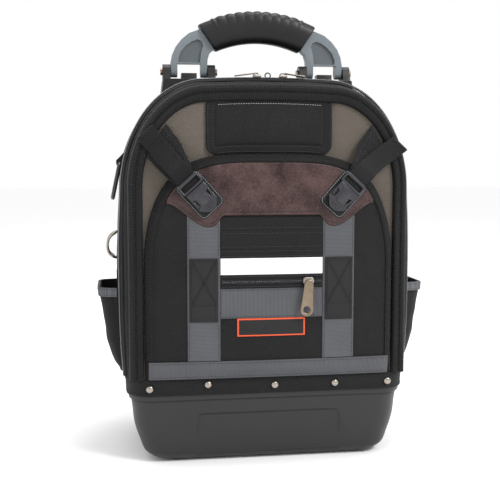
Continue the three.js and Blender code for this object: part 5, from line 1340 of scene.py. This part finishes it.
class BuckleMaker(Maker, bpy.types.Operator):
    """Buckles with their pads, wings and loose ends: sheets drawn along each buckle's own axes"""
    bl_idname = "backpack.buckles"
    bl_label = "Buckles and wings"

    def make(self, m):
        # The y at which the backs of the solid pads stand.
        face = -120.26
        end_face = -face_of(m) - GAP - m.rim_height * 0.76
        for name, sign in (("left", -1), ("right", 1)):
            along, across = buckle_axes(sign)
            origin = np.array([sign * 86.0, 0, 328.0])

            def world(a, y, c):
                a, y, c = np.broadcast_arrays(a, y, c)
                flat = origin + a[..., None] * along + c[..., None] * across
                flat[..., 1] = y
                return flat
            pad = plate(rounded_rect(25.6, 17.6, 6.5, 8), 1.6, 0.6)
            piece("buckle_seat_" + name, moved(pad, [along, across, FRONT],
                                               origin + np.array([0, face, 0])),
                  "patch", ["buckle_pad_" + name])
            frame_line = closed_line(rounded_rect(24.3, 16.2, 5.4, 8))
            path = world(frame_line[:, 0], face - 1.7, frame_line[:, 1])
            piece("buckle_seat_seam_" + name, seam(path, FRONT, m, 2.9), "thread_grey")
            refined("buckle_socket_" + name, "socket_" + name, "buckle", 1.1, 3)
            self.plug(name, world, face)
            self.ribs(name, world, face)
            self.wing(m, name, world, face, end_face)
            self.tail(m, name, world, face, end_face)

    def ribs(self, name, world, face):
        """A raised shield on the socket, two grip bars at its head, and the prongs in its side windows."""
        outer = face - 1.6 - GAP - 7
        shield = softened([(-12, -4.2), (-8, -6.4), (2, -5.2), (7.4, -9.5), (7.4, 9.5), (2, 5.2),
                           (-8, 6.4), (-12, 4.2)], 2)
        part = plate(shield, 1.1, 0.5)
        line = world(part[0][:, 0], outer + 0.3 - part[0][:, 2], part[0][:, 1])
        sets = [(line, turned_out(line, part[1]), part[2])]
        bars = [([(along, -half), (along, half)], 0.1, 0.8)
                for along, half in ((-20.3, 3.4), (-17.8, 5.2), (-15.3, 6.6))]
        prong = np.array([(3, 11.6), (-1, 12.1), (-6, 11.3), (-9.5, 9.2)])
        bars += [(prong * (1, side), 3.2, 1.5) for side in (1, -1)]
        for points, height, radius in bars:
            bar = resampled(np.array(points, float), 14)
            sets.append(wire(world(bar[:, 0], outer + height, bar[:, 1]), radius, 10, up=(0, 1, 0)))
        piece("socket_ribs_" + name, together(sets), "buckle")

    def plug(self, name, world, face):
        """The plug's frame: a rounded plate with a slot, in which the webbing shows."""
        outside = resampled(closed_line(rounded_rect(7.2, 15, 3.4, 9)), 121)[:-1]
        outside = outside + np.array([16.9, 0])
        inside = resampled(closed_line(rounded_rect(3.6, 12.6, 1.2, 9)), 121)[:-1]
        inside = inside + np.array([16.7, 0])
        thick, soft = 2.7, 0.7
        section = softened([(0, soft), (0, 0), (1, 0), (1, soft), (1, thick), (0, thick)], 2)
        flat = inside[:, None] * (1 - section[None, :, :1]) + outside[:, None] * section[None, :, :1]
        level = face - 3.6 - section[None, :, 1] + 0 * flat[..., 0]
        points = world(flat[..., 0], level, flat[..., 1])
        piece("buckle_frame_" + name, tube_parts(points, closed=True), "buckle",
              ["buckle_plug_" + name])

    def wing(self, m, name, world, face, end_face):
        start, run, width, thick = 24.6, 47.4, 43.0, 1.5
        low = [(0, -.3), (.24, -.35), (.45, -.36), (.75, -.37), (1, -.37)]
        high = [(0, .3), (.24, .395), (.45, .465), (.75, .58), (1, .63)]
        sink = [(0, -.03), (.24, 0), (.45, .36), (.75, .745), (1, 1)]
        v = edged(run, 40, 1.0)[:, None] / run
        u = edged(width, 30, 1.0)[None, :] / width
        across = width * (smooth(v, low) * (1 - u) + smooth(v, high) * u)
        along = start + run * v + 15 * u * step(.7, 1, v)
        base = face + (end_face - face) * smooth(v, sink)
        reach = np.minimum(np.minimum(u, 1 - u) * width, np.minimum(v, 1 - v) * run)
        fold = 0.5 * rumple(along * 1.2, across, 34, 6) * step(2, 9, reach)
        rise = thick * (0.25 + 0.75 * roll(reach, 1.0)) + np.maximum(fold, -0.3)
        uv = np.stack(np.broadcast_arrays(across, along), -1)
        piece("shoulder_wing_" + name, slab_parts(world(along, base - rise, across),
                                                  world(along, base, across), uv),
              "cloth", ["wing_" + name])
        sets = []
        surface = world(along, base - rise - 0.1, across)
        for column in (7, -8):
            sets.append(seam(surface[4:-4, column], FRONT, m))
        for row in (-9, -14):
            sets.append(seam(surface[row, 7:-7], FRONT, m))
        piece("wing_seams_" + name, together(sets), "thread_dark")

    def tail(self, m, name, world, face, end_face):
        lift, half, thick = 6.98, 12.2, 1.5
        reach = {"left": 97.0, "right": 93.0}[name]
        # Shares: along the run, across it, of the way back to the rim, and of the lift off that line.
        rows = {"left": [(.16, .04, .07, .45), (.33, .08, .47, .52), (.53, .12, .83, .5),
                         (.73, .16, 1, .44), (1, .18, 1, .41)],
                "right": [(.17, -.08, .07, .45), (.35, -.25, .47, .55), (.56, -.49, .83, .68),
                          (.77, -.74, 1, .82), (1, -.98, 1, 1.1)]}[name]
        points = [(13.6, 0, face - 1.9), (16.5, 0, face - 2.6), (20.0, 0, face - 1.95),
                  (25.4, 0, face - 1.95)]
        for along, across, sink, raised in rows:
            points.append((26.4 + (reach - 26.4) * along, half * across,
                           face + (end_face - face) * sink - lift * raised))
        points = np.array(points)
        where = np.linspace(points[0, 0], points[-1, 0], 60)
        middle = smooth(where, points[:, [0, 1]])
        height = smooth(where, points[:, [0, 2]])
        u = edged(2 * half, 16, 0.8)[None, :] - half
        bend = 0.5 * (1 - (u / half) ** 2) * step(28, 42, where)[:, None]
        along = where[:, None] + 0 * u
        across = middle[:, None] + u
        reach_in = np.minimum(half - np.abs(u) + 0 * along, (where[-1] - where)[:, None])
        rise = thick * (0.3 + 0.7 * roll(reach_in, 0.8))
        base = height[:, None] - bend
        uv = np.stack(np.broadcast_arrays(across, along), -1)
        piece("loose_end_" + name, slab_parts(world(along, base - rise, across),
                                              world(along, base, across), uv),
              "black_webbing", ["strap_tail_" + name])
        edge = world(along, base - rise - 0.08, across)
        sets = [seam(edge[12:-3, column], FRONT, m) for column in (6, -7)]
        sets += [seam(edge[row, 5:-5], FRONT, m) for row in (-4, -12)]
        piece("loose_end_seams_" + name, together(sets), "thread_black")


class SidePocketMaker(Maker, bpy.types.Operator):
    """Side pockets: a rounded pouch whose reach grows by a table from foot to mouth, with a webbing trim"""
    bl_idname = "backpack.side_pockets"
    bl_label = "Side pockets"

    def make(self, m):
        rows = [(0, .12), (.1, .36), (.3, .58), (.6, .74), (1, 1)]
        front, back, foot, top, reach, bend = -66.0, 24.0, 110.0, 213.0, 21.0, 14.0
        t = np.linspace(0, 1, 61)

        def pouch(z, grow, sign):
            """One row per height: out from the skin at the front, round two corners and back to the skin."""
            share = np.clip((z - foot) / (top - foot), 0, 1)[:, None]
            out = smooth(share, rows)
            span = back - front + 2 * grow
            y = front - grow + span * t[None, :] + 0 * share
            near = np.minimum(y - (front - grow), back + grow - y) / bend
            round_off = np.sqrt(np.clip(1 - (1 - np.clip(near, 0, 1)) ** 2, 0, 1))
            sag = (1.2 * rumple(y, z[:, None] + 0 * y, 44, 8) * step(.05, .3, near)
                   * np.sin(pi * share) ** 0.5)
            gather = 0.35 * np.sin(y * 2 * pi / 7.5) * step(.72, .95, share) * step(.2, 1, near)
            skin_x = m.body_width / 2 + swell(m, y, z[:, None] + 0 * y)
            x = skin_x + GAP + grow + (reach * out) * round_off + (sag + gather) * round_off
            return np.stack([sign * x, y, z[:, None] + 0 * y], -1)
        z = foot + edged(top - foot, 44, 1.0)
        z_trim = 202 + edged(11, 10, 0.8)
        for name, sign in (("left", -1), ("right", 1)):
            outer, inner = pouch(z, 2.0, sign), pouch(z, 0.15, sign)
            uv = np.stack(np.broadcast_arrays(outer[..., 1], z[:, None]), -1)
            piece("pouch_" + name, slab_parts(outer, inner, uv), "cloth",
                  ["side_pocket_" + name])
            rise = 2.0 + GAP + 1.4 * (0.25 + 0.75 * roll(np.minimum(z_trim - 202, 213 - z_trim), 0.8))
            layers = [np.stack([pouch(np.array([height]), grow, sign)[0]
                                for height, grow in zip(z_trim, grows)])
                      for grows in (rise, np.full(len(z_trim), 2.0 + GAP))]
            uv = np.stack(np.broadcast_arrays(z_trim[:, None], layers[0][..., 1]), -1)
            piece("pouch_trim_" + name, slab_parts(layers[0], layers[1], uv), "webbing",
                  ["pocket_trim_" + name])
            sets = [seam(pouch(np.array([height]), 2.0 + GAP + 1.45, sign)[0], (sign, 0, 0), m)
                    for height in (204.2, 210.8)]
            piece("pouch_trim_seams_" + name, together(sets), "thread_dark")
            tab = plate(rounded_rect(6, 9, 2, 5), 1.4, 0.4)
            x = sign * (m.body_width / 2 + float(swell(m, -58.0, 226.0)) + 0.5)
            piece("pouch_tab_" + name, moved(tab, [(0, 1, 0), (0, 0, 1), (sign, 0, 0)], (x, -58, 226)),
                  "black_webbing")


class SideFittingMaker(Maker, bpy.types.Operator):
    """Ring, its tab and the wire clip on the left side"""
    bl_idname = "backpack.side_fittings"
    bl_label = "Side fittings"

    def make(self, m):
        low, high = [np.array(corner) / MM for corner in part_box("side_ring")]
        lean = radians(12)
        angle = full_turn(72)
        up, across = squared(np.cos(angle), 0.75) * (25 - 2.6), squared(np.sin(angle), 0.75) * (18 - 2.6)
        middle = (low + high) / 2
        path = np.stack([middle[0] + up * sin(lean), -38 + across, middle[2] + up * cos(lean)], -1)
        piece("side_loop", wire(path, 2.6, 12, closed=True, up=(1, 0, 0.2)), "buckle",
              ["side_ring"])
        refined("side_ring_tab", "side_loop_tab", "patch", 0.5)

        def at(z, out):
            """The clip's x at a height, a distance off the cloth."""
            return float(-(m.body_width / 2 + swell(m, -48.0, z)) - 1.5 - GAP - out)
        corners = [(at(281.0, 0), 281.0), (at(281.0, 10.5), 274.0), (at(249.0, 10.5), 255.1),
                   (at(249.0, 0), 249.0)]
        ring = np.array([(x, -60.0, z) for x, z in corners] + [(x, -36.0, z) for x, z in corners[::-1]])
        piece("wire_clip", wire(resampled(closed_line(softened(ring, 3)), 121)[:-1], 1.5, 10,
                                closed=True, up=(0.3, 0.2, 1)), "nickel", ["side_clip"])


class HandleMaker(Maker, bpy.types.Operator):
    """Folding handle: brackets, bolts and arms with rounded edges, and a ridged grip bent as an arc"""
    bl_idname = "backpack.handle"
    bl_label = "Handle"

    def make(self, m):
        for name in ("left", "right"):
            refined("handle_bracket_" + name, "bracket_" + name, "bracket", 1.1, 3)
            refined("handle_arm_" + name, "arm_" + name, "arm", 1.2, 3, body="handle",
                    web="arm_web")
            for place in ("outer", "inner"):
                refined("handle_bolt_%s_%s" % (name, place), "bolt_%s_%s" % (name, place), "bolt",
                        0.5)
        share = np.linspace(-0.995, 0.995, 221)[:, None]
        low_x, low_z = 54 * share, 37.5 - 11.5 * share ** 2
        high_x, high_z = 77 * share, 77 - 17.5 * share ** 2
        mid_x, mid_z = (low_x + high_x) / 2, (low_z + high_z) / 2
        span = np.hypot(high_x - low_x, high_z - low_z) / 2
        angle = full_turn(56)[None]
        c = squared(np.cos(angle), 0.72)
        s = squared(np.sin(angle), 0.72)
        wave = 0.5 + 0.5 * np.cos(2 * pi * share / 0.16)
        ridge = 1.6 * wave ** 0.45 * step(0.8, 0.76, np.abs(share)) * np.clip(c * 2.2, 0, 1)
        end = 1 - 0.05 * (1 - roll((0.995 - np.abs(share)) * 75, 2.5))
        along = c * span * end + ridge - 0.2
        x = mid_x + (high_x - mid_x) / span * along
        z = mid_z + (high_z - mid_z) / span * along
        y = s * 14 * end + 0 * share
        rings = np.stack([x, y, z + m.pivot], -1)
        piece("ridged_grip", tube_parts(rings), "grip", ["handle_grip"], body="handle")


def swollen(obj, voxel, pressure, cap, pinned=None):
    """A pad filled by cloth simulation: an even mesh, pressure from inside, each point moved by no more
    than the cap, and one subdivision. Points that the test names are held."""
    mesh = obj.data
    again = obj.modifiers.new("Even", "REMESH")
    again.mode = "VOXEL"
    again.voxel_size = voxel * MM
    graph = bpy.context.evaluated_depsgraph_get()
    even = bpy.data.meshes.new_from_object(obj.evaluated_get(graph))
    obj.modifiers.clear()
    obj.data = even
    bpy.data.meshes.remove(mesh)
    before = read(even.vertices, "co")
    cloth = obj.modifiers.new("Fill", "CLOTH")
    cloth.settings.quality = 6
    cloth.settings.use_pressure = True
    cloth.settings.uniform_pressure_force = pressure
    cloth.settings.effector_weights.gravity = 0
    if pinned is not None:
        group = obj.vertex_groups.new(name="held")
        group.add(np.nonzero(pinned(before / MM))[0].tolist(), 1.0, "REPLACE")
        cloth.settings.vertex_group_mass = "held"
    cloth.point_cache.frame_start = 1
    cloth.point_cache.frame_end = CLOTH_FRAMES
    scene = bpy.context.scene
    for number in range(1, CLOTH_FRAMES + 1):
        scene.frame_set(number)
    graph = bpy.context.evaluated_depsgraph_get()
    blown = bpy.data.meshes.new_from_object(obj.evaluated_get(graph))
    moved_by = read(blown.vertices, "co") - before
    size = np.linalg.norm(moved_by, axis=1, keepdims=True)
    after = before + moved_by * np.minimum(1, cap * MM / np.maximum(size, 1e-9))
    obj.modifiers.clear()
    obj.vertex_groups.clear()
    even.vertices.foreach_set("co", after.reshape(-1))
    bpy.data.meshes.remove(blown)
    scene.frame_set(1)
    finer = obj.modifiers.new("Finer", "SUBSURF")
    finer.levels = finer.render_levels = 1
    even.shade_smooth()
    even.update()
    return obj


# Shares down a strap: height, place across, distance behind the back, half width and half thickness.
STRAP_ROWS = [(.94, .27, .07, .8, .75), (.9, .29, .24, .9, 1), (.84, .32, .6, 1, 1), (.76, .36, .92, 1, 1),
              (.66, .41, 1.04, 1, 1), (.56, .48, .98, .95, 1), (.47, .54, .8, .86, .95),
              (.43, .56, .74, .6, .7)]


class BackMaker(Maker, bpy.types.Operator):
    """Padded back and straps: pads filled by cloth simulation, with webbing and adjusters below"""
    bl_idname = "backpack.back"
    bl_label = "Back pad and straps"

    def make(self, m):
        base, way = arch(m, 16, 14, 8)
        plane = face_of(m)
        rings = []
        for inset, foot, y in ((6.6, 0, plane - 3), (6.6, 0, plane - .2), (18.9, .5, plane - .2),
                               (21.5, 3, plane + 4.5),
                               (27, 8, plane + 8.6), (36, 16, plane + 10.4), (60, 36, plane + 11)):
            flat = base - way * np.array([inset, inset * 1.15])
            flat[:, 1] = np.maximum(flat[:, 1], m.body_foot + foot + 1)
            flat[[0, -1], 1] = m.body_foot + foot
            rings.append(np.stack([flat[:, 0], np.full(len(flat), y), flat[:, 1]], -1))
        pad = piece("back_cushion", tube_parts(np.stack(rings)), "mesh", ["back_panel"])
        swollen(pad, 5.0, 4.0, 1.6, lambda p: p[:, 1] < plane + 1.5)
        self.channels(pad, m)
        for name, sign in (("left", -1), ("right", 1)):
            self.strap(m, name, sign)

    def channels(self, pad, m):
        """Sewn channels pressed into the filled pad: valleys along two upright lines and two level ones."""
        mesh = pad.data
        points = read(mesh.vertices, "co")
        x, y, z = (points / MM).T
        top = step(face_of(m) + 4, face_of(m) + 9, y)
        upright = np.exp(-((np.abs(x) - 46) / 5.0) ** 2)
        level = sum(np.exp(-((z - at) / 5.0) ** 2) for at in (210, 330)) * (np.abs(x) < 46)
        points[:, 1] -= (3.6 * np.maximum(upright, level) * top * MM).astype(np.float32)
        mesh.vertices.foreach_set("co", points.reshape(-1))
        mesh.update()

    def strap(self, m, name, sign):
        plane = face_of(m)
        rows = np.array(STRAP_ROWS)
        faces = [(0, plane), (m.body_foot + 26, plane + 12), (m.body_top - 66, plane + 12),
                 (m.body_top - 39, plane + 10.3), (m.body_top - 28, plane + 6), (m.body_top - 21.5, plane)]
        t = np.linspace(0, 1, 60)
        where = t * (len(rows) - 1)

        def column(k):
            """A column of the table, read all along the strap."""
            return smooth(where, np.stack([np.arange(len(rows)), rows[:, k]], -1))
        z = column(0) * m.body_top
        x = sign * column(1) * m.body_width / 2
        half_w, half_t = 30 * column(3), 6 * column(4)
        y = np.interp(z, *np.array(faces).T) + GAP + half_t + 24 * column(2)
        path = np.stack([x, y, z], -1)
        run = unit(np.gradient(path, axis=0))
        side = unit(np.cross(np.array([0, 1.0, 0]), run))
        rise = np.cross(run, side)
        angle = full_turn(40)
        c = squared(np.cos(angle), 0.55)
        s = squared(np.sin(angle), 0.8)
        rings = (path[:, None] + side[:, None] * (half_w[:, None] * 0.96 * c)[..., None]
                 + rise[:, None] * (half_t[:, None] * 0.82 * s)[..., None])
        strap = piece("padded_strap_" + name, tube_parts(rings), "mesh",
                      ["shoulder_strap_" + name])
        swollen(strap, 4.0, 4.0, 1.1)
        sets = []
        for edge in (-1, 1):
            line = path + side * (half_w * 0.97)[:, None] * edge
            sets.append(wire(line[1:-1], 1.5, 8, up=(0, 1, 0)))
        piece("strap_piping_" + name, together(sets), "rim")
        web = np.array([(.563, .87, .425), (.62, .46, .33), (.66, .03, .275)])
        tail_z = web[:, 2] * m.body_top
        tail = np.stack([sign * web[:, 0] * m.body_width / 2,
                         np.interp(tail_z, *np.array(faces).T) + GAP + 1.2 + 24 * web[:, 1],
                         tail_z], -1)
        line = resampled(np.concatenate([[[x[-1], y[-1], z[-1] + 4]], tail]), 40)
        run = unit(np.gradient(line, axis=0))
        side = unit(np.cross(np.array([0, 1.0, 0]), run))
        rise = np.cross(run, side)
        section = softened([(-12.5, -1.2), (12.5, -1.2), (12.5, 1.2), (-12.5, 1.2)], 2)
        rings = line[:, None] + side[:, None] * section[None, :, :1] + rise[:, None] * section[None, :, 1:]
        around = walked(section)
        uv = crossed(walked(line), around)[..., ::-1]
        piece("strap_webbing_" + name, tube_parts(rings, uv=uv), "black_webbing")
        at = line[7]
        bars = []
        for offset in (-7, 0, 7):
            bar = np.stack([at + run[7] * offset + side[7] * w + rise[7] * (2.2 if offset == 0 else 0.4)
                            for w in np.linspace(-14.5, 14.5, 9)])
            bars.append(wire(bar, 1.7, 10, up=(0, 1, 0)))
        for w in (-14.5, 14.5):
            rail = np.stack([at + run[7] * o + side[7] * w + rise[7] * 0.8 for o in np.linspace(-7, 7, 7)])
            bars.append(wire(rail, 1.9, 10, up=(0, 1, 0)))
        piece("strap_adjuster_" + name, together(bars), "buckle")


class StageMaker(Maker, bpy.types.Operator):
    """Pale floor, soft lights and the photograph's camera"""
    bl_idname = "backpack.stage"
    bl_label = "Stage"

    def make(self, m):
        scene = bpy.context.scene
        floor = bpy.data.meshes.new("floor")
        floor.from_pydata([(-6, -4, 0), (6, -4, 0), (6, 12, 0), (-6, 12, 0)], [], [(0, 1, 2, 3)])
        ground = bpy.data.objects.new("floor", floor)
        ground.location.z = -0.0004
        scene.collection.objects.link(ground)
        made, tree, shader, place = started("White sweep", {"Roughness": 0.7})
        paper = add(tree, "TexNoise", {"Vector": place, "Scale": 3.0}).outputs[0]
        finished(tree, shader, paper, (0.955, 0.955, 0.96, 1), (0.965, 0.965, 0.965, 1), paper, 0.05, 0.1)
        floor.materials.append(made)
        lights = [("key", (1.2, -1.3, 1.7), 0.7, 34), ("fill", (-1.9, -1.3, 1.0), 1.2, 6),
                  ("top", (0.2, 0.0, 2.1), 0.8, 16), ("back", (-0.4, 1.9, 1.5), 1.5, 8)]
        for name, spot, size, power in lights:
            data = bpy.data.lights.new(name, "AREA")
            data.shape = "DISK"
            data.size = size
            data.energy = power
            lamp = bpy.data.objects.new(name, data)
            lamp.location = spot
            lamp.rotation_euler = (Vector((0, 0, 0.25)) - Vector(spot)).to_track_quat("-Z", "Y").to_euler()
            scene.collection.objects.link(lamp)
        world = bpy.data.worlds.new("studio")
        world.use_nodes = True
        world.node_tree.nodes["Background"].inputs["Color"].default_value = (1, 1, 1, 1)
        world.node_tree.nodes["Background"].inputs["Strength"].default_value = 1.0
        scene.world = world
        scene.view_settings.view_transform = "Standard"
        # The camera that was fitted to the photograph.
        data = bpy.data.cameras.new("photograph")
        data.sensor_width = 36
        data.lens = 64.8
        camera = bpy.data.objects.new("photograph", data)
        camera.location = (-0.1835, -1.1697, 0.365)
        azimuth, pitch = radians(8.5), radians(5.52)
        look = Vector((sin(azimuth) * cos(pitch), cos(azimuth) * cos(pitch), -sin(pitch)))
        camera.rotation_euler = look.to_track_quat("-Z", "Y").to_euler()
        scene.collection.objects.link(camera)
        scene.camera = camera


MAKERS = [TubMaker, SkirtMaker, BodyMaker, RimMaker, LongZipMaker, PocketMaker, LeatherMaker,
          WebbingMaker, BandMaker, PocketPullMaker, FlapMaker, BuckleMaker, SidePocketMaker,
          SideFittingMaker, HandleMaker, BackMaker, StageMaker]


class BackpackPanel(bpy.types.Panel):
    """Lists the sizes, the colours and the makers"""
    bl_idname = "VIEW3D_PT_backpack"
    bl_label = "Tool backpack"
    bl_space_type = "VIEW_3D"
    bl_region_type = "UI"
    bl_category = "Backpack"

    def draw(self, context):
        for group in (context.scene.backpack_sizes, context.scene.backpack_colours):
            box = self.layout.box()
            for key in type(group).__annotations__:
                box.prop(group, key)
        for maker in MAKERS:
            self.layout.operator(maker.bl_idname)


CLASSES = [BackpackSizes, BackpackColours] + MAKERS + [BackpackPanel]


def register():
    for kind in CLASSES:
        bpy.utils.register_class(kind)
    bpy.types.Scene.backpack_sizes = PointerProperty(type=BackpackSizes)
    bpy.types.Scene.backpack_colours = PointerProperty(type=BackpackColours)


def unregister():
    del bpy.types.Scene.backpack_colours
    del bpy.types.Scene.backpack_sizes
    for kind in reversed(CLASSES):
        bpy.utils.unregister_class(kind)


def main():
    """Makes every piece in order."""
    register()
    for maker in MAKERS:
        group, name = maker.bl_idname.split(".")
        getattr(getattr(bpy.ops, group), name)()


if __name__ == "__main__":
    main()
